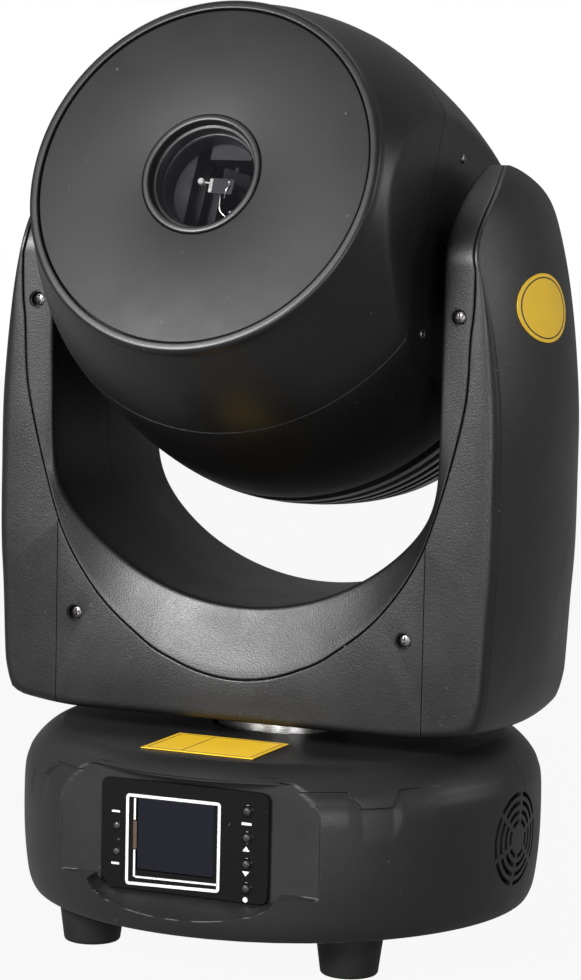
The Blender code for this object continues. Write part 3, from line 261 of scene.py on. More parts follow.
charcoal = plastic("base_plastic", (0.0100, 0.0095, 0.0097), 0.44, grain=0.0005, depth=0.5, shine=0.4)
base_line = smooth_line(
    [
        (0.1155, 0.0004), (0.1182, 0.0018), (0.1209, 0.0100), (0.1228, 0.030), (0.1228, 0.055),
        (0.1210, 0.064), (0.1183, 0.069), (0.1143, 0.0735), (0.1100, 0.0768), (0.1050, 0.0790),
    ]
)
panel_plane, recess_half, sill, ceiling, lid_height, roof = 0.104, 0.0645, 0.021, 0.0725, 0.0690, 0.079


def ramp(value, start, end):
    """0 at the start, 1 at the end, straight between."""
    return np.clip((value - start) / (end - start), 0.0, 1.0)


def spaced(digits, *spans):
    """Values from one end to the other of each (start, end, count), each once and rounded."""
    return np.unique(np.round(np.concatenate([np.linspace(*span) for span in spans]), digits))


def base_skin(turn, scooped):
    """The round side, radius over height, turned by an angle from the front. Below the lid line it steps
    in and comes back further down; in the recess its depth goes over to the flat panel plane."""
    scoop, lid_step = ((0.0004, 0.005, 12), (0.005, 0.0225, 46)), ((0.057, 0.0735, 67), (0.0735, roof, 14))
    heights = spaced(12, *scoop, (0.0225, 0.057, 22), *lid_step)
    height, angle = np.meshgrid(heights, turn, indexing="ij")
    radius = np.interp(height, base_line[:, 1], base_line[:, 0])
    side = np.degrees(np.abs(angle))
    tongue = ramp(side, 37.5, 40.5) * ramp(side, 49.5, 47.5)
    lid = lid_height - 0.0072 * tongue
    below = ramp(lid - height, 0.0, 0.0006) * (1 - ramp(lid - height, 0.001, 0.014)) * ramp(side, 60.0, 50.0)
    radius = radius - 0.0013 * below * scooped
    x, y = radius * np.sin(angle), radius * np.cos(angle)
    across = np.abs(x)
    corner = 0.011
    past_x = across - (recess_half - corner)
    past_z = height - (ceiling - corner)
    outside = np.hypot(np.maximum(past_x, 0), np.maximum(past_z, 0))
    outside = outside + np.minimum(np.maximum(past_x, past_z), 0)
    within = ramp(outside - corner, 0.0, -0.0009)
    sag = np.sqrt(np.clip(1 - (across / 0.046) ** 2, 0, 1)) * scooped
    slope_low = sill - 0.0122 * sag
    slope_high = sill + 0.0008 - 0.0056 * np.minimum(1.6 * sag, 1.0)
    within = within * ramp((height - slope_low) / (slope_high - slope_low), 0.0, 1.0)
    y = np.where(y > panel_plane, y + (panel_plane - y) * within, y)
    top = np.linspace(0.1045, 0.0345, 24)[:, None]
    flat = np.stack((top * np.sin(turn), top * np.cos(turn), np.full((24, len(turn)), roof)), -1)
    return np.concatenate((np.stack((x, y, height), -1), flat))


to_recess_edge = ((0, 19, 20), (19, 22.5, 15), (22.5, 30.5, 9), (30.5, 32.5, 21))
half_turn = np.radians(spaced(4, *to_recess_edge, (32.5, 37, 6), (37, 50.5, 41), (50.5, 90, 41)))
half_turn = np.concatenate((-half_turn[:0:-1], half_turn))


def ring_slots(centre, radii, width, spokes, low, high):
    """Arc slots: a small rectangle swept along each part of each ring, about an axis along X."""
    grids = []
    for outer in radii:
        for spoke in range(spokes):
            bridge = 0.0013 / outer
            angle = np.linspace(spoke, spoke + 1.0, 14) * 2 * np.pi / spokes
            angle = np.clip(angle, angle[0] + bridge, angle[-1] - bridge)[:, None] + 0.35
            reach = np.array([outer - width, outer, outer, outer - width])[None, :]
            depth = np.array([low, low, high, high])[None, :] + 0 * angle
            points = (depth, centre[0] + reach * np.cos(angle), centre[1] + reach * np.sin(angle))
            grids.append(closed(np.stack(points, -1)))
    return make_piece("vent_slots", grids, charcoal)


for name, scooped in (("base_front_shell", 1.0), ("base_back_shell", 0.0)):
    skin = base_skin(half_turn, scooped)
    skin[..., 1] = np.maximum(skin[..., 1], 0.00015)
    if scooped:
        skin[..., 1] *= -1
    shell = make_piece("round_" + name, [grid_of(skin)], charcoal, "base", 50.0)
    thicken = shell.modifiers.new("wall", "SOLIDIFY")
    thicken.thickness = 0.0022
    thicken.offset = -1.0
    settle(shell, 50.0)
    for side in (1, -1):
        low, high = sorted((side * 0.108, side * 0.135))
        slots = ring_slots((-0.009, 0.037), (0.0218, 0.0176, 0.0134, 0.0092), 0.0021, 6, low, high)
        cut(shell, slots, sharp=50.0)
    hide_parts(name)


# Yoke. Two moulded covers close the bottom in front and behind, an arm cover caps each side, and a fairing
# in two halves lines the U. They part along a bead that follows the U, and at a line near each arm.
yoke_plastic = plastic("yoke_plastic", (0.0052, 0.0049, 0.0051), 0.40, grain=0.0006, depth=0.6, shine=0.45)
u_height, u_radius, arm_top, arm_inner, dome_foot = 0.2553, 0.1149, 0.345, 0.097, 0.301
tilt_height, half_depth, bow_radius, wall, slit, screw_bore = 0.2958, 0.0585, 0.145, 0.0022, 0.0002, 0.0041
bead_line = smooth_line(
    [
        (0.0, 0.1075), (0.033, 0.115), (0.052, 0.126), (0.071, 0.1425), (0.088, 0.167),
        (0.099, 0.197), (0.109, 0.237), (0.111, 0.268), (0.1125, 0.290), (0.1120, 0.360),
    ]
)
bead_line[:12, 1] = 0.1075 + 0.0075 * (bead_line[:12, 0] / 0.033) ** 2
flank_line = smooth_line(
    [
        (0.0, 0.0874), (0.100, 0.0874), (0.1185, 0.0895), (0.1225, 0.095), (0.1262, 0.107), (0.1325, 0.151),
        (0.1345, 0.199), (0.1345, 0.236), (0.1312, 0.273), (0.1260, 0.303), (0.1185, 0.328), (0.1090, 0.342),
        (0.0990, 0.350),
    ]
)


def eased(value, start, end):
    """Rises from 0 to 1 with level ends: 3t squared less 2t cubed."""
    t = ramp(value, start, end)
    return t * t * (3 - 2 * t)


def bowed(y):
    """How far a bowed flank falls back at a distance from its middle."""
    return bow_radius - np.sqrt(bow_radius ** 2 - y ** 2)


def bend(before, corner, after, radius, steps):
    """Rounds one corner of each section: a quadratic arc between points a radius away on both edges."""
    t = np.linspace(0, 1, steps)[None, :, None]

    def along(end):
        edge = end - corner
        length = np.linalg.norm(edge, axis=1, keepdims=True)
        return (corner + edge * np.minimum(radius / np.maximum(length, 1e-9), 0.48))[:, None]

    return (1 - t) ** 2 * along(before) + 2 * t * (1 - t) * corner[:, None] + t ** 2 * along(after)


def yoke_lines(low, high):
    """Section lines from an angle about the U's centre to another, 0 at the bottom; past 90 they lie level
    and climb the arm. Gives each line's height, heading and distances."""
    angle = np.radians(np.arange(low, min(high, 90.0), 1.0))
    climb = 1 - (1 - np.linspace(0, 0.985, 90)) ** 3 if high > 90 else np.empty(0)
    height = np.concatenate((np.full(len(angle), u_height), u_height + (arm_top - u_height) * climb))
    angle = np.concatenate((angle, np.full(len(climb), np.pi / 2)))
    level = np.concatenate((np.zeros(len(angle) - len(climb), bool), np.ones(len(climb), bool)))

    def reach(line):
        spread = np.arctan2(line[:, 0], u_height - line[:, 1])
        by_angle = np.interp(angle, spread, np.hypot(line[:, 0], u_height - line[:, 1]))
        order = np.argsort(line[:, 1])
        return np.where(level, np.interp(height, line[order, 1], line[order, 0]), by_angle)

    share = np.clip(height - dome_foot, 0, None) / (arm_top - dome_foot)
    dome = np.clip(1 - share ** 1.8, 0, 1) ** (1 / 1.35)
    arm = np.maximum(np.sin(angle), 1e-3)
    inner = (u_radius ** -24.0 + (arm_inner / arm) ** -24.0) ** (-1 / 24)
    degrees = np.degrees(angle)
    depth = half_depth * dome
    edge = (0.050 + 0.007 * eased(degrees, 30, 75)) * dome
    bulge = eased(degrees, 25, 50)
    flank = reach(flank_line)
    bead = np.minimum(reach(bead_line), flank - bulge * bowed(depth) - 0.002)
    return dict(
        angle=angle, height=height, inner=inner, bead=bead, flank=flank, depth=depth, edge=edge, bulge=bulge
    )


def in_space(lines, section, side_x, side_y=1.0):
    """Places (y, distance) sections along their headings, on one side of the yoke."""
    reach = section[..., 1]
    x = side_x * reach * np.sin(lines["angle"])[:, None]
    z = lines["height"][:, None] - reach * np.cos(lines["angle"])[:, None]
    return np.stack((x, side_y * section[..., 0], z), -1)


def pair(first, second):
    """(lines, 2) points from two columns."""
    return np.stack(np.broadcast_arrays(first, second), -1).astype(float)


def fairing(side_y):
    """The fairing's half: along the saddle to its rounded edge, out to the bead, and back inside."""
    lines = yoke_lines(0.0, 100.0)
    inner, bead, depth, edge = (lines[key] for key in ("inner", "bead", "depth", "edge"))
    deep = np.maximum(depth - wall, slit)
    outside = ((slit, inner), (edge, inner), (depth, bead - slit))
    inside = ((deep, bead - slit), (np.maximum(edge - wall, slit), inner + wall), (slit, inner + wall))
    keys = [pair(*columns) for columns in outside + inside]
    cross = np.linspace(0, 1, 8)[None, :, None]
    front = bend(keys[0], keys[1], keys[2], 0.0022, 7)
    lip = bend(keys[1], keys[2], keys[3], 0.0009, 5)
    saddle = keys[0][:, None] + (front[:, :1] - keys[0][:, None]) * cross[:, :-1]
    band = front[:, -1:] + (lip[:, :1] - front[:, -1:]) * cross[:, 1:-1]
    section = np.concatenate((saddle, front, band, lip, *(key[:, None] for key in keys[3:])), 1)
    right_half = in_space(lines, section, 1.0, side_y)
    left_half = in_space(lines, section, -1.0, side_y)[:0:-1]
    return closed(np.concatenate((left_half, right_half)))


def cover(low, high, side_x):
    """A cover's shell: from the bead over the rounded corner and the bowed flank to the other bead."""
    lines = yoke_lines(low, high)
    bead, flank, depth, bulge = (lines[key] for key in ("bead", "flank", "depth", "bulge"))
    to_back = [-1.0, 1.0]

    def skin(inset, steps):
        deep = np.maximum(depth - inset, 0.0)

        def out(y):
            return flank - inset - bulge * bowed(y)

        start = pair(deep, bead + slit)
        corner = pair(deep, np.maximum(out(deep), bead + 2 * slit))
        radius = np.minimum(0.0052, 0.45 * (corner[:, 1] - start[:, 1]))[:, None]
        over = pair(0.7 * deep, out(0.7 * deep))
        rounded = bend(start, corner, over, radius, 9)
        across = rounded[:, -1, :1] * np.cos(np.linspace(0, np.pi, steps))[None, 1:-1]
        bow = flank[:, None] - inset - bulge[:, None] * bowed(across)
        near, flat = np.concatenate((start[:, None], rounded), 1), np.stack((across, bow), -1)
        return np.concatenate((near, flat, near[:, ::-1] * to_back), 1)

    outside = skin(0.0, 30)
    rim = bend(skin(wall, 30)[:, 0], outside[:, 0], outside[:, 1], 0.0009, 4)
    section = np.concatenate((rim, outside[:, 1:-1], rim[:, ::-1] * to_back, skin(wall, 16)[:, ::-1]), 1)
    half = in_space(lines, section, side_x)
    if low == 0:
        half = np.concatenate((in_space(lines, section, -side_x)[:0:-1], half))
    return closed(half)


def round_turn(count):
    """Evenly spaced angles once round."""
    return np.linspace(0, 2 * np.pi, count, endpoint=False)


def rectangle(low, high, radius=0.0, steps=6):
    """Counter-clockwise corners of a rectangle, rounded if a radius is stated."""
    corners = [(low[0], low[1]), (high[0], low[1]), (high[0], high[1]), (low[0], high[1])]
    return rounded_loop(corners, radius, steps) if radius else np.array(corners)


def plate(outline, low, high, place=np.asarray):
    """A flat plate of an outline between two heights, as a grid that stays as drawn or is placed."""
    rings = np.stack([np.column_stack((outline, np.full(len(outline), height))) for height in (low, high)])
    return closed(place(rings))


def block(low, high):
    """A plain block between two corners, to cut with."""
    return make_piece("block", [plate(rectangle(low, high), low[2], high[2])], yoke_plastic)


def drill(centre, radius, axis, low, high, count=48):
    """A round bar along X, Y or Z, to cut with."""
    turn = round_turn(count)
    ring = np.stack((centre[0] + radius * np.cos(turn), centre[1] + radius * np.sin(turn)), -1)
    ends = [np.insert(ring, "XYZ".index(axis), level, axis=1) for level in (low, high)]
    return make_piece("drill", [closed(np.stack(ends))], yoke_plastic)


def bore_cups(piece, side, reach, height):
    """Two holes for the screws' cups, to the left and the right in front, side -1, or behind, side 1."""
    low, high = sorted((side * 0.050, side * 0.07))
    for x in (-reach, reach):
        cut(piece, drill((x, height), screw_bore, "Y", low, high, 32))


for name, side in (("yoke_inner_front", -1.0), ("yoke_inner_back", 1.0)):
    lining = make_piece("lining_" + name, [fairing(side)], yoke_plastic, "yoke")
    cut(lining, drill((0.0, tilt_height), 0.0123, "X", -0.2, 0.2))
    bore_cups(lining, side, 0.105, 0.278)
    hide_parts(name)
seam_x = 0.0923
for name, side in (("yoke_front_cover", -1.0), ("yoke_back_cover", 1.0)):
    panel = make_piece("skin_" + name, [cover(0.0, 58.0, 1.0)], yoke_plastic, "yoke")
    low, high = sorted((side * slit, side * 0.2))
    cut(panel, block((-seam_x + slit, low, 0.0), (seam_x - slit, high, 0.3)), "INTERSECT")
    cut(panel, drill((0.0, 0.0), 0.0245, "Z", 0.05, 0.1))
    bore_cups(panel, side, 0.0829, 0.1321)
    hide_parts(name)
for name, side in (("arm_cover_right", 1.0), ("arm_cover_left", -1.0)):
    panel = make_piece("skin_" + name, [cover(22.0, 100.0, side)], yoke_plastic, "yoke")
    low, high = sorted((side * (seam_x + slit), side * 0.3))
    cut(panel, block((low, -0.2, 0.0), (high, 0.2, 0.5)), "INTERSECT")
    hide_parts(name)


# Head shells. A barrel in three moulded parts: a front with the rim, and an upper and a lower rear half.
# Both sides are flat where the arms pass, and five deep louvres run round the lower rear for the air.
head_plastic = plastic("head_plastic", (0.0070, 0.0066, 0.0068), 0.36, grain=0.00028, depth=0.28, shine=0.35)
lean = np.radians(90.0 - 22.6)
head_wall, rear_end = 0.0025, -0.120
barrel = smooth_line(
    [
        (0.0790, -0.1170), (0.0875, -0.095), (0.0972, -0.065), (0.1046, -0.035), (0.1064, -0.005),
        (0.1052, 0.025), (0.1018, 0.0575), (0.0937, 0.085), (0.0843, 0.1075), (0.0828, 0.1112),
    ]
)
flat_x, head_seam = 0.0867, 0.0575


def in_head(points):
    """Turns points drawn upright about the optical axis to where the head rests, tipped on the tilt axis."""
    x, y, z = np.moveaxis(points, -1, 0)
    leant = (x, y * np.cos(lean) - z * np.sin(lean), tilt_height + y * np.sin(lean) + z * np.cos(lean))
    return np.stack(leant, -1)


def rounded_loop(corners, radius, steps=5):
    """A closed outline with each corner replaced by a quadratic arc as wide as the radius allows."""
    corners = np.array(corners, float)
    radius = np.broadcast_to(np.array(radius, float), len(corners))[:, None]
    return bend(np.roll(corners, 1, 0), corners, np.roll(corners, -1, 0), radius, steps).reshape(-1, 2)


def revolve(loop, turn, whole=True, reshape=None, place=in_head):
    """A grid of a closed (radius, height) outline turned through angles; reshape may shift the radius."""
    loop = np.array(loop)
    angle, number = np.meshgrid(turn, np.arange(len(loop)), indexing="ij")
    radius, height = loop[number, 0], loop[number, 1]
    if reshape:
        radius = reshape(radius, height, angle, number)
    points = np.stack((radius * np.cos(angle), radius * np.sin(angle), height), -1)
    return grid_of(place(points), wrap_rows=whole, wrap_columns=True, caps=not whole)


def between_flats(points, limit):
    """Points of a round surface brought in so that |x| stays under the limit, with a softly rounded edge."""
    x = np.sign(points[..., 0]) * -0.0005 * np.logaddexp(-np.abs(points[..., 0]) / 0.0005, -limit / 0.0005)
    return np.stack((x, points[..., 1], points[..., 2]), -1)


def barrel_radius(height):
    """The barrel's outer radius at a distance along the optical axis."""
    return np.interp(height, barrel[:, 1], barrel[:, 0])


def shell_piece(name, outer, inner, turn, whole, reshape=None):
    """One shell of the barrel, its outer side kept between the flats and its inner side a wall inside."""
    loop = np.concatenate((outer, inner))
    limit = np.concatenate((np.full(len(outer), flat_x), np.full(len(inner), flat_x - head_wall)))

    def place(points):
        return in_head(between_flats(points, np.broadcast_to(limit, points.shape[:-1])))

    grid = revolve(loop, turn, whole, reshape, place)
    return make_piece(name, [grid], head_plastic, "head", 50.0)


def corner_of(before, corner, after, radius, steps):
    """One rounded corner between three points."""
    return bend(*(np.array([point]) for point in (before, corner, after)), radius, steps)[0]


full_turn = round_turn(360)
along = np.linspace(head_seam + 0.0007, 0.1085, 46)
outer = np.column_stack((barrel_radius(along), along))
seam_low, seam_high = head_seam - 0.0002, head_seam + 0.0002
seam_edge = corner_of((0.0990, seam_high), (barrel_radius(head_seam), seam_high), outer[0], 0.0006, 4)
lip = rounded_loop(
    [
        (0.0840, 0.1085), (0.0832, 0.1128), (0.0790, 0.1128), (0.0790, 0.1090), (0.0735, 0.1090),
        (0.0735, 0.1060),
    ],
    [0.0, 0.0022, 0.0008, 0.0004, 0.0004, 0.0],
    7,
)[7:]
inner = np.column_stack((barrel_radius(along[::-6]) - 0.0026, along[::-6]))
outer, inner = np.concatenate((seam_edge, outer)), np.concatenate((lip, inner))
front = shell_piece("front_shell", outer, inner, full_turn, True)
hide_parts("head_front_shell")


def louvres(radius, height, angle, number):
    """Takes 9 mm off the outer radius inside each slot, over the lower 60 degrees to both sides."""
    first, pitch, width, number_of = -0.0270, 0.0145, 0.0082, 4.7
    window = ramp(np.degrees(np.abs(angle - 1.5 * np.pi)), 62.0, 58.0)
    into = np.mod(first - height, pitch)
    slot = ramp(into, 0.0, 0.0006) * ramp(into, width, width - 0.0006)
    slot = slot * (height < first) * (height > first - number_of * pitch)
    return radius - 0.009 * slot * window * (number < outer_count)


rows = spaced(6, (-0.1165, -0.098, 12), (-0.098, -0.026, 181), (-0.026, head_seam - 0.0007, 40))
outer = np.column_stack((barrel_radius(rows), rows))
seam_edge = corner_of(outer[-1], (barrel_radius(head_seam), seam_low), (0.0990, seam_low), 0.0006, 4)
rear_edge = corner_of((0.060, rear_end), (0.0775, rear_end), outer[0], 0.0035, 8)
outer = np.concatenate(([(0.0, rear_end), (0.030, rear_end), (0.055, rear_end)], rear_edge, outer, seam_edge))
outer_count = len(outer)
deep_rows = rows[::-8]
inner = np.column_stack((barrel_radius(deep_rows) - 0.0125, deep_rows))
inner_end = rear_end + head_wall
inner = np.concatenate(([(0.0893, seam_low)], inner, [(0.055, inner_end), (0.0, inner_end)]))
for name, start, reshape in (("head_rear_upper", 0.0, None), ("head_rear_lower", np.pi, louvres)):
    turn = start + np.linspace(0.0, np.pi, 220)
    half = shell_piece("barrel_" + name, outer, inner, turn, False, reshape)
    shift = in_head(np.array([0.0, 0.00015 if start == 0 else -0.00015, 0.0])) - in_head(np.zeros(3))
    half.data.transform(Matrix.Translation(shift.tolist()))
    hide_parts(name)


# Face. A flat disc of the same plastic, moulded smoother, sits inside the rim. A satin black ring clips
# into its middle and steps down in two narrow ledges to the coated window, with a black tube behind it.
face_plastic = plastic("face_plastic", (0.0135, 0.0130, 0.0134), 0.46, grain=0.00022, depth=0.12, shine=0.2)


def satin(name, colour, roughness, metallic=0.55):
    """Satin black or bare metal: the plastic's clouds and specks under a finer grain and a metallic sheen."""
    made = plastic(name, colour, roughness, grain=0.00018, depth=0.1)
    feed(made.node_tree.nodes["Principled BSDF"], [("Metallic", metallic)])
    return made


def dress(finish, *names):
    """Gives the model's own nodes their material where no piece stands for them."""
    for name in names:
        nodes[name].material_slots[0].material = finish


ring_black = satin("ring_black", (0.028, 0.0275, 0.0285), 0.34)
loop = rounded_loop([(0.0283, 0.1093), (0.0784, 0.1093), (0.0784, 0.1118), (0.0283, 0.1118)], 0.0005, 4)
disc = make_piece("face_plate", [revolve(loop, full_turn)], face_plastic, "head")
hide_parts("face_disc")
loop = rounded_loop(
    [
        (0.0280, 0.1090), (0.0280, 0.1126), (0.0252, 0.1126), (0.0246, 0.1082), (0.0232, 0.1082),
        (0.0229, 0.1055), (0.0229, 0.1035), (0.0250, 0.1035), (0.0250, 0.1090),
    ],
    [0.0002, 0.0009, 0.0008, 0.0003, 0.0005, 0.0003, 0.0003, 0.0003, 0.0002],
    5,
)
trim = make_piece("aperture_trim", [revolve(loop, full_turn)], ring_black, "head")
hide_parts("aperture_ring")
tube_line = [(0.0215, 0.0915), (0.0250, 0.0915), (0.0250, 0.1028), (0.0222, 0.1028), (0.0215, 0.1018)]
loop = rounded_loop(tube_line, 0.0004, 4)
make_piece("aperture_tube", [revolve(loop, full_turn)], ring_black, "head")
coated = plastic("coated_window", (0.016, 0.016, 0.021), 0.07, grain=0.0012, depth=0.01)
feed(coated.node_tree.nodes["Principled BSDF"], [("Alpha", 0.10)])
dress(coated, "window_glass")


# Scanner. Seen through the window: a grey bracket plate, a black slanted rail, and a small mirror held in
# a bright clamp with a screw and a bent spring wire. The drives and the chassis behind them are given a dark
# colour as painted shade, and a dark sheet behind them is painted shade too.
# Dark satin metal: the real black of the rail and the shafts, and painted shade on the drives, the chassis
# and the sheet.
dark_metal_and_painted_shade = satin("dark_metal_and_painted_shade", (0.012, 0.012, 0.013), 0.5)
grey_metal = satin("grey_metal", (0.34, 0.34, 0.345), 0.6)
bright_clamp = satin("bright_clamp", (0.75, 0.74, 0.72), 0.2, 1.0)
mirror_coat = satin("mirror_coat", (0.060, 0.060, 0.070), 0.16)
# Painted shade: the scan block and the steel chassis take the dark colour that stands for the shaded inside
# of the head.
dress(dark_metal_and_painted_shade, "scan_block", "head_chassis")
dress(mirror_coat, "scan_mirror_lower", "scan_mirror_upper")


def slab(name, outline, low, high, finish, edge=0.0004, body="head", place=in_head):
    """A flat plate of an outline across the axis, its edges rounded by insetting its two end rings."""
    outline = np.array(outline, float)
    middle = outline.mean(0)
    size = np.linalg.norm(outline - middle, axis=1).max()
    rings = []
    for inset, height in ((edge, low), (0.0, low + edge), (0.0, high - edge), (edge, high)):
        ring = middle + (outline - middle) * (1 - inset / size)
        rings.append(np.column_stack((ring, np.full(len(ring), height))))
    return make_piece(name, [closed(place(np.stack(rings)))], finish, body)


def circle_at(x, y, radius):
    """A round outline."""
    circle = round_turn(24)
    return radius * np.stack((np.cos(circle), np.sin(circle)), -1) + [x, y]


def bent_wire(name, points, radius):
    """A bright wire: circles about each point of a smooth path, square to its direction there."""
    path = smooth_line(points, 8)
    heading = np.gradient(path, axis=0)
    heading /= np.linalg.norm(heading, axis=1, keepdims=True)
    side = np.cross(heading, np.where(np.abs(heading[:, 2:]) > 0.9, [[1.0, 0.0, 0.0]], [[0.0, 0.0, 1.0]]))
    side /= np.linalg.norm(side, axis=1, keepdims=True)
    over = np.cross(heading, side)
    turn = round_turn(10)[None, :, None]
    rings = path[:, None] + radius * (np.cos(turn) * side[:, None] + np.sin(turn) * over[:, None])
    make_piece(name, [closed(in_head(rings))], bright_clamp, "head")


bracket = [(-0.050, -0.034), (-0.0214, -0.034), (-0.0190, 0.036), (-0.050, 0.036)]
rail = [(-0.0216, -0.034), (-0.0142, -0.034), (-0.0113, 0.036), (-0.0192, 0.036)]
# The outline of a dark sheet set behind the mirror as painted shade for the shaded inside of the head.
shade_sheet_outline = rounded_loop([(-0.012, -0.040), (0.045, -0.040), (0.045, 0.040), (-0.012, 0.040)], 0.004)
bar = rounded_loop([(-0.0054, -0.0010), (-0.0036, -0.0010), (-0.0036, 0.0062), (-0.0054, 0.0062)], 0.0006)
pin = rounded_loop([(-0.0105, 0.0048), (-0.0050, 0.0044), (-0.0050, 0.0052), (-0.0105, 0.0056)], 0.0002)
holder = rounded_loop([(-0.0036, -0.0012), (0.0066, -0.0016), (0.0072, 0.0056), (-0.0036, 0.0061)], 0.0005)
slab("bracket_plate", bracket, 0.0785, 0.0800, grey_metal)
slab("slanted_rail", rail, 0.0765, 0.0795, dark_metal_and_painted_shade)
# Painted shade: a dark sheet that stands for the shaded inside of the head behind the mirror.
slab("painted_shade_sheet", shade_sheet_outline, 0.0558, 0.0568, dark_metal_and_painted_shade)
slab("clamp_collar", circle_at(-0.0108, 0.0055, 0.0016), 0.0870, 0.0900, grey_metal)
slab("clamp_bar", bar, 0.0890, 0.0918, bright_clamp, edge=0.0003)
slab("clamp_pin", pin, 0.0880, 0.0890, bright_clamp, edge=0.0002)
slab("mirror_holder", holder, 0.0914, 0.0922, mirror_coat, edge=0.0002)
slab("holder_screw", circle_at(0.0047, 0.0040, 0.0008), 0.0922, 0.0928, bright_clamp, edge=0.0003)
spring_path = [(0.0002, -0.0015, 0.0898), (0.0006, -0.0050, 0.0898), (0.0014, -0.0085, 0.0896)]
bent_wire("spring_wire", spring_path + [(0.0044, -0.0112, 0.0890), (0.0085, -0.0140, 0.0870)], 0.00035)
holder_path = [(0.0050, 0.0030, 0.0926), (0.0040, 0.0002, 0.0927), (0.0030, -0.0030, 0.0912)]
bent_wire("holder_wire", holder_path, 0.00028)


# Control panel. A bevelled sheet of gloss black plastic set on the recess's flat wall, with a window for
# the screen and holes for four buttons and two lamps. Its lines and bare marks are printed in white.
def on_front(points):
    """Turns points drawn upright so that their height stands out to the front."""
    return np.stack((points[..., 0], -points[..., 2], points[..., 1]), -1)


def band(outline, width, low, high, place=np.asarray):
    """A flat strip that follows a closed outline, as wide as stated to its inner side."""
    heading = np.roll(outline, -1, 0) - np.roll(outline, 1, 0)
    heading = heading / np.linalg.norm(heading, axis=1, keepdims=True)
    inside = outline + width * np.column_stack((-heading[:, 1], heading[:, 0]))
    edges = ((outline, low), (outline, high), (inside, high), (inside, low))
    rings = [np.column_stack((line, np.full(len(line), height))) for line, height in edges]
    return grid_of(place(np.stack(rings)), wrap_rows=True, wrap_columns=True)


gloss_black = plastic("gloss_black", (0.0022, 0.0020, 0.0023), 0.10, grain=0.0016, depth=0.01, shine=0.3)
white_print = plastic("white_print", (0.62, 0.61, 0.60), 0.5, grain=0.0002, depth=0.1)
tape_brown = plastic("tape_brown", (0.065, 0.042, 0.030), 0.4, grain=0.0003, depth=0.15)
screen_glass = plastic("screen_glass", (0.0050, 0.0056, 0.0095), 0.12, grain=0.0009, depth=0.01, shine=0.3)
key_rubber = plastic("key_rubber", (0.014, 0.013, 0.014), 0.42, grain=0.0002, depth=0.2)
lamp_lens = plastic("lamp_lens", (0.035, 0.033, 0.033), 0.16, grain=0.0006, depth=0.05)
face = 0.1060
panel = slab(
    "gloss_panel", rectangle((-0.043, 0.0165), (0.040, 0.067), 0.0045), 0.1043, face, gloss_black,
    edge=0.0003, body="base", place=on_front,
)
window = plate(rectangle((-0.0253, 0.0257), (0.0133, 0.0600), 0.0008), 0.10, 0.11, on_front)
cut(panel, make_piece("window", [window], gloss_black))
button_x, button_heights, lamp_x, lamp_heights = 0.0295, (0.058, 0.046, 0.034, 0.023), -0.035, (0.045, 0.033)
for x, heights, radius in ((button_x, button_heights, 0.0023), (lamp_x, lamp_heights, 0.0020)):
    for height in heights:
        cut(panel, drill((x, height), radius, "Y", -0.11, -0.10, 40))
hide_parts("control_panel")
screen = slab(
    "screen_pane", rectangle((-0.0250, 0.0260), (0.0130, 0.0597), 0.0006), 0.10435, 0.1054, screen_glass,
    edge=0.0001, body="base", place=on_front,
)
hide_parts("lcd_screen")
outline = rounded_loop([(-0.0305, 0.0184), (0.0164, 0.0196), (0.0165, 0.0605), (-0.0305, 0.0602)], 0.002, 6)
skin, top = face - 0.00002, face + 0.00004
mark_x = 0.0292
marks = [
    rectangle((-0.0266, 0.0484), (-0.0256, 0.0584)),
    rectangle((-0.0266, 0.0223), (-0.0256, 0.0347)),
    [(-0.0256, 0.0219), (0.0153, 0.0227), (0.0153, 0.0236), (-0.0256, 0.0228)],
    rectangle((mark_x - 0.0024, 0.0517), (mark_x + 0.0024, 0.0529)),
    [(mark_x - 0.0018, 0.0399), (mark_x + 0.0018, 0.0399), (mark_x, 0.0422)],
    [(mark_x - 0.0018, 0.0309), (mark_x, 0.0286), (mark_x + 0.0018, 0.0309)],
    circle_at(mark_x, 0.0180, 0.0012),
]
for height in (0.0514, 0.0275):
    marks.append(rectangle((lamp_x - 0.0026, height - 0.0005), (lamp_x + 0.0014, height + 0.0005)))
printed = [plate(mark, skin, top, on_front) for mark in marks]
make_piece(
    "panel_print", [band(outline, 0.0014, skin, top, on_front)] + printed, white_print, "base"
)
tape = plate(rectangle((-0.0268, 0.0352), (-0.0250, 0.0479)), skin, top, on_front)
make_piece("screen_tape", [tape], tape_brown, "base")


def on_panel_at(x, height):
    """Stands a turned shape on the panel at a place."""
    return lambda points: on_front(points + [x, height, face])


small_turn = round_turn(48)
cap_line = [(0.0, -0.0008), (0.0020, -0.0008), (0.0020, 0.0004)]
cap_line += [(0.0016, 0.0010), (0.0009, 0.00125), (0.0, 0.0013)]
rim_line = rounded_loop([(0.0022, -0.0002), (0.0031, -0.0002), (0.0030, 0.0003), (0.0022, 0.0004)], 0.0002, 3)
for number, body in enumerate(("button_up", "button_second", "button_third", "button_low"), 1):
    place = on_panel_at(button_x, button_heights[number - 1])
    grid = revolve(cap_line, small_turn, place=place)
    cap = make_piece(f"push_cap_{number}", [grid], key_rubber, body, 50.0)
    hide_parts(f"button_{number}")
    grid = revolve(rim_line, small_turn, place=place)
    make_piece(f"push_rim_{number}", [grid], gloss_black, "base")
lens_line = [(0.0, -0.0012), (0.0017, -0.0012), (0.0017, 0.0002)]
lens_line += [(0.0012, 0.0007), (0.0006, 0.0009), (0.0, 0.00095)]
for number, height in enumerate(lamp_heights, 1):
    grid = revolve(lens_line, small_turn, place=on_panel_at(lamp_x, height))
    lens = make_piece(f"lamp_dome_{number}", [grid], lamp_lens, "base", 50.0)
    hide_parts(f"indicator_{number}")


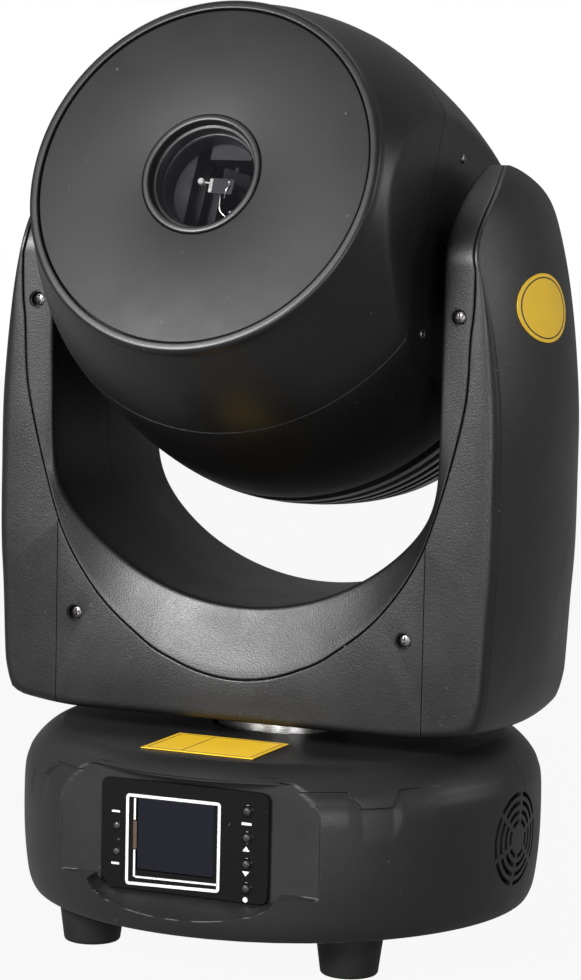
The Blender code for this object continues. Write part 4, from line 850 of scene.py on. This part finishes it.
# Stickers. Two plain yellow vinyl labels: an oblong one flat on the base in front of the neck, with a thin
# dark border and a dividing line, and an oval one laid round the right arm's bowed flank with a black ring.
vinyl = plastic("yellow_vinyl", (0.95, 0.60, 0.030), 0.34, grain=0.0007, depth=0.06)
dark_print = plastic("dark_print", (0.018, 0.016, 0.014), 0.42, grain=0.0003, depth=0.08)
dress(vinyl, "base_sticker")
label_left, label_right, label_near, label_far, label_top = -0.02695, 0.02455, -0.09325, -0.05675, 0.0796
skin, top = label_top - 0.00002, label_top + 0.00003
border = band(rectangle((label_left, label_near), (label_right, label_far), 0.0015), 0.0005, skin, top)
divide = plate(rectangle((label_left + 0.017, label_near), (label_left + 0.0175, label_far)), skin, top)
make_piece("base_label_lines", [border, divide], dark_print, "base")


def on_flank(reach, angle, lift):
    """Points of an ellipse about the oval label's middle, on the arm's bowed flank and lifted off it."""
    y = -0.012 + 0.026 * reach * np.cos(angle)
    z = 0.2815 + 0.0155 * reach * np.sin(angle)
    order = np.argsort(flank_line[:, 1])
    x = np.interp(z, flank_line[order, 1], flank_line[order, 0]) - bowed(y)
    return np.stack((x + lift, y, z), -1)


def flank_patch(reaches, lifts, ring):
    """Rings of the ellipse at each reach and lift, the last joined to the first if it is a ring."""
    reach, angle = np.meshgrid(reaches, round_turn(96), indexing="ij")
    return grid_of(on_flank(reach, angle, np.array(lifts)[:, None]), wrap_rows=ring, wrap_columns=True)


spread = np.concatenate(([0.0], np.linspace(0.1, 1.0, 12)))
patch = flank_patch(np.concatenate((spread, spread[::-1])), [0.00045] * 13 + [0.00010] * 13, False)
oval = make_piece("oval_label", [patch], vinyl, "yoke", 50.0)
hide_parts("arm_sticker")
patch = flank_patch([0.86, 0.86, 0.90, 0.90], [0.0004, 0.0005, 0.0005, 0.0004], True)
make_piece("oval_label_ring", [patch], dark_print, "yoke")


# Screws. Pan-head steel screws with a cross, sunk in moulded cups at the foot and near the top of both
# arms, in front and behind, and four small ones set straight into the flats of the head.
def cross_head(radius, height, place):
    """A screw head as a grid: a dome whose middle is taken down inside two crossing bars."""
    reach = np.concatenate((np.linspace(0, 0.72, 34), np.linspace(0.74, 1.0, 8))) * radius
    reach, angle = np.meshgrid(reach, round_turn(96), indexing="ij")
    x, y = reach * np.cos(angle), reach * np.sin(angle)
    rise = height * np.sqrt(np.clip(1 - (reach / radius) ** 2 * 0.94, 0, 1))
    near, far = np.minimum(np.abs(x), np.abs(y)), np.maximum(np.abs(x), np.abs(y))
    bar = ramp(near, 0.17 * radius, 0.11 * radius) * ramp(far, 0.64 * radius, 0.56 * radius)
    top = np.stack((x, y, rise - 0.62 * height * bar), -1)
    under = np.stack((x[-1:], y[-1:], np.full((1, 96), -0.0006)), -1)
    foot = np.stack((0 * x[-1:], 0 * y[-1:], np.full((1, 96), -0.0006)), -1)
    return grid_of(place(np.concatenate((top, under, foot))), wrap_columns=True)


def facing(side, across, height, depth):
    """Stands an upright shape on a place of the yoke's front, side -1, or back, side 1."""
    middle = [across, side * depth, height]
    return lambda points: middle + points[..., (0, 2, 1)] * [1.0, side, 1.0]


def on_head_flat(side, across, height):
    """Stands an upright shape on a flat of the head, side 1 to the right."""
    middle = [side * (flat_x + 0.0001), across, height]
    return lambda points: in_head(middle + points[..., (2, 0, 1)] * [side, 1.0, 1.0])


screw_steel = satin("screw_steel", (0.23, 0.22, 0.22), 0.3, 1.0)
cup_line = [(0.0, -0.0050), (0.00395, -0.0050), (0.00395, -0.0006), (0.0036, -0.0006)]
cup_line += [(0.0036, -0.0038), (0.0, -0.0038)]
cups, heads = [], []
for side in (-1.0, 1.0):
    for reach, height, depth in ((0.105, 0.278, 0.0578), (0.0829, 0.1321, half_depth)):
        for x in (-reach, reach):
            cups.append(revolve(cup_line, small_turn, place=facing(side, x, height, depth)))
            heads.append(cross_head(0.0031, 0.0016, facing(side, x, height, depth - 0.0034)))
make_piece("screw_cups", cups, yoke_plastic, "yoke")
make_piece("yoke_screws", heads, screw_steel, "yoke", 25.0)
places = [(side, *place) for side in (-1.0, 1.0) for place in ((0.0442, 0.0281), (-0.0449, 0.0405))]
heads = [cross_head(0.0022, 0.0011, on_head_flat(*place)) for place in places]
make_piece("head_screws", heads, screw_steel, "head", 25.0)


# Neck. A hollow shaft turned from bright steel carries the yoke; its wide collar shows between the base
# and the yoke, with fine turning marks round it.
def turned_metal(name, colour, roughness, pitch=0.0004):
    """Machined metal: marks that run round the axis as bands over height, broken up by noise, and stains."""
    made, tree, shader, place = new_finish(name)
    flat = add_node(tree, "Mapping", [("Vector", place), ("Scale", (0.06, 0.06, 1.0))])
    marks = noise(tree, flat, 1 / pitch, 4.0)
    gloss = rescaled(tree, marks, roughness - 0.08, roughness + 0.12)
    shade = two_shades(tree, noise(tree, place, 60.0, 6.0, 0.7), colour, 0.7, 1.1)
    bump = add_node(tree, "Bump", [("Height", marks), ("Strength", 0.25), ("Distance", pitch * 0.2)])
    feed(shader, [("Metallic", 1.0), ("Base Color", shade), ("Roughness", gloss), ("Normal", bump)])
    return made


neck_steel = turned_metal("neck_steel", (0.62, 0.61, 0.60), 0.26)
neck_line = rounded_loop(
    [
        (0.0120, 0.0280), (0.0237, 0.0280), (0.0237, 0.0610), (0.0320, 0.0610), (0.0320, 0.0871),
        (0.0237, 0.0871), (0.0237, 0.0928), (0.0120, 0.0928),
    ],
    [0.0004, 0.0006, 0.0003, 0.0012, 0.0012, 0.0003, 0.0006, 0.0004],
    5,
)
grid = revolve(neck_line, round_turn(128), place=np.asarray)
neck = make_piece("bright_neck", [grid], neck_steel, "yoke")
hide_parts("pan_shaft")


# Underside. A zinc-plated steel plate closes the base, and four soft rubber feet stand under it, wider at
# the top and rounded at the bottom.
rubber = plastic("foot_rubber", (0.0075, 0.0070, 0.0070), 0.62, grain=0.0004, depth=0.3, shine=0.3)
plate_steel = turned_metal("plate_steel", (0.40, 0.40, 0.41), 0.40, pitch=0.0009)
dress(plate_steel, "base_plate")
foot_line = rounded_loop(
    [(0.0, -0.0190), (0.0130, -0.0190), (0.0155, -0.0003), (0.0, -0.0003), (0.0, -0.0100), (0.0, -0.0150)],
    [0.0, 0.0016, 0.0010, 0.0, 0.0, 0.0],
    6,
)
for number, (x, y) in enumerate([(x, y) for x in (-0.0651, 0.0651) for y in (-0.0701, 0.0701)], 1):
    grid = revolve(foot_line, round_turn(96), place=lambda points: points + [x, y, 0.0])
    foot = make_piece(f"rubber_foot_{number}", [grid], rubber, "base")
    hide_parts(f"foot_{number}")


# Rear connectors. A folded steel plate closes the back recess. It holds a mains inlet with three flat pins
# and two round signal sockets, of glossy black plastic with brass contacts.
def on_rear(points):
    """Turns points drawn upright so that their height stands out to the back."""
    return np.stack((-points[..., 0], points[..., 2], points[..., 1]), -1)


socket_black = plastic("socket_black", (0.010, 0.0095, 0.0100), 0.28, grain=0.0003, depth=0.12, shine=0.45)
brass = turned_metal("brass", (0.72, 0.48, 0.20), 0.25, pitch=0.0002)
dress(socket_black, "power_inlet", "signal_in", "signal_out")
dress(plate_steel, "connector_plate")
socket_floor, socket_height, pin_circle = 0.0910, 0.042, 0.0042
contacts = []
for x, height in ((0.036, 0.0455), (0.0430, 0.0385), (0.0290, 0.0385)):
    outline = rectangle((x - 0.0032, height - 0.0012), (x + 0.0032, height + 0.0012), 0.0003, 3)
    contacts.append(plate(outline, socket_floor, socket_floor + 0.0135, on_rear))
make_piece("inlet_pins", contacts, brass, "base")
contacts = []
for x in (-0.004, -0.036):
    for turn in np.radians((-30.0, 90.0, 210.0)):
        outline = circle_at(x + pin_circle * np.cos(turn), socket_height + pin_circle * np.sin(turn), 0.0009)
        contacts.append(plate(outline, socket_floor, socket_floor + 0.0100, on_rear))
make_piece("signal_pins", contacts, brass, "base")
places = [(x, height) for height in (0.060, 0.0255) for x in (-0.0560, 0.0560)]
heads = [cross_head(0.0025, 0.0013, facing(1.0, x, height, 0.1063)) for x, height in places]
make_piece("connector_screws", heads, screw_steel, "base", 25.0)


# Base insides. A cased supply, a fan, and the pan drive: a stepper motor with a toothed pulley, a ribbed
# belt, and a bearing in a cast housing. Sheet steel, blackened castings, moulded rotors and rubber.
cast_black = plastic("cast_black", (0.020, 0.019, 0.019), 0.55, grain=0.0006, depth=0.6, shine=0.4)
fan_black = plastic("fan_black", (0.009, 0.0085, 0.0085), 0.36, grain=0.0005, depth=0.15, shine=0.4)
belt_rubber = plastic("belt_rubber", (0.011, 0.010, 0.010), 0.7, grain=0.0012, depth=0.8, shine=0.25)
bearing_steel = turned_metal("bearing_steel", (0.60, 0.60, 0.61), 0.20, pitch=0.0003)
motor_steel = turned_metal("motor_steel", (0.34, 0.34, 0.35), 0.36, pitch=0.0006)
board_green = plastic("board_green", (0.012, 0.060, 0.026), 0.35, grain=0.0008, depth=0.35)
dress(plate_steel, "power_supply")
dress(board_green, "control_board")
dress(fan_black, "base_fan_frame", "base_fan_rotor", "pan_pulley")
dress(cast_black, "pan_bearing_housing")
dress(bearing_steel, "pan_bearing", "pan_motor_pulley")
dress(motor_steel, "pan_motor")
dress(belt_rubber, "pan_belt")


# Yoke insides. A folded steel frame stiffens both arms and carries the tilt bearings, shafts, motor,
# pulleys and belt; only the shafts show, between the head and the fairings.
dress(plate_steel, "yoke_frame")
dress(bearing_steel, "tilt_bearing_left", "tilt_bearing_right", "tilt_motor_pulley")
dress(motor_steel, "tilt_motor")
dress(belt_rubber, "tilt_belt")
dress(dark_metal_and_painted_shade, "tilt_shaft_left", "tilt_shaft_right")


# Head insides. The laser module is a green boxed unit on a ribbed aluminium heat sink, with a fan behind.
sink_metal = turned_metal("sink_metal", (0.66, 0.66, 0.67), 0.34, pitch=0.0005)
dress(board_green, "laser_module")
dress(sink_metal, "heat_sink")
dress(fan_black, "head_fan_frame", "head_fan_rotor")
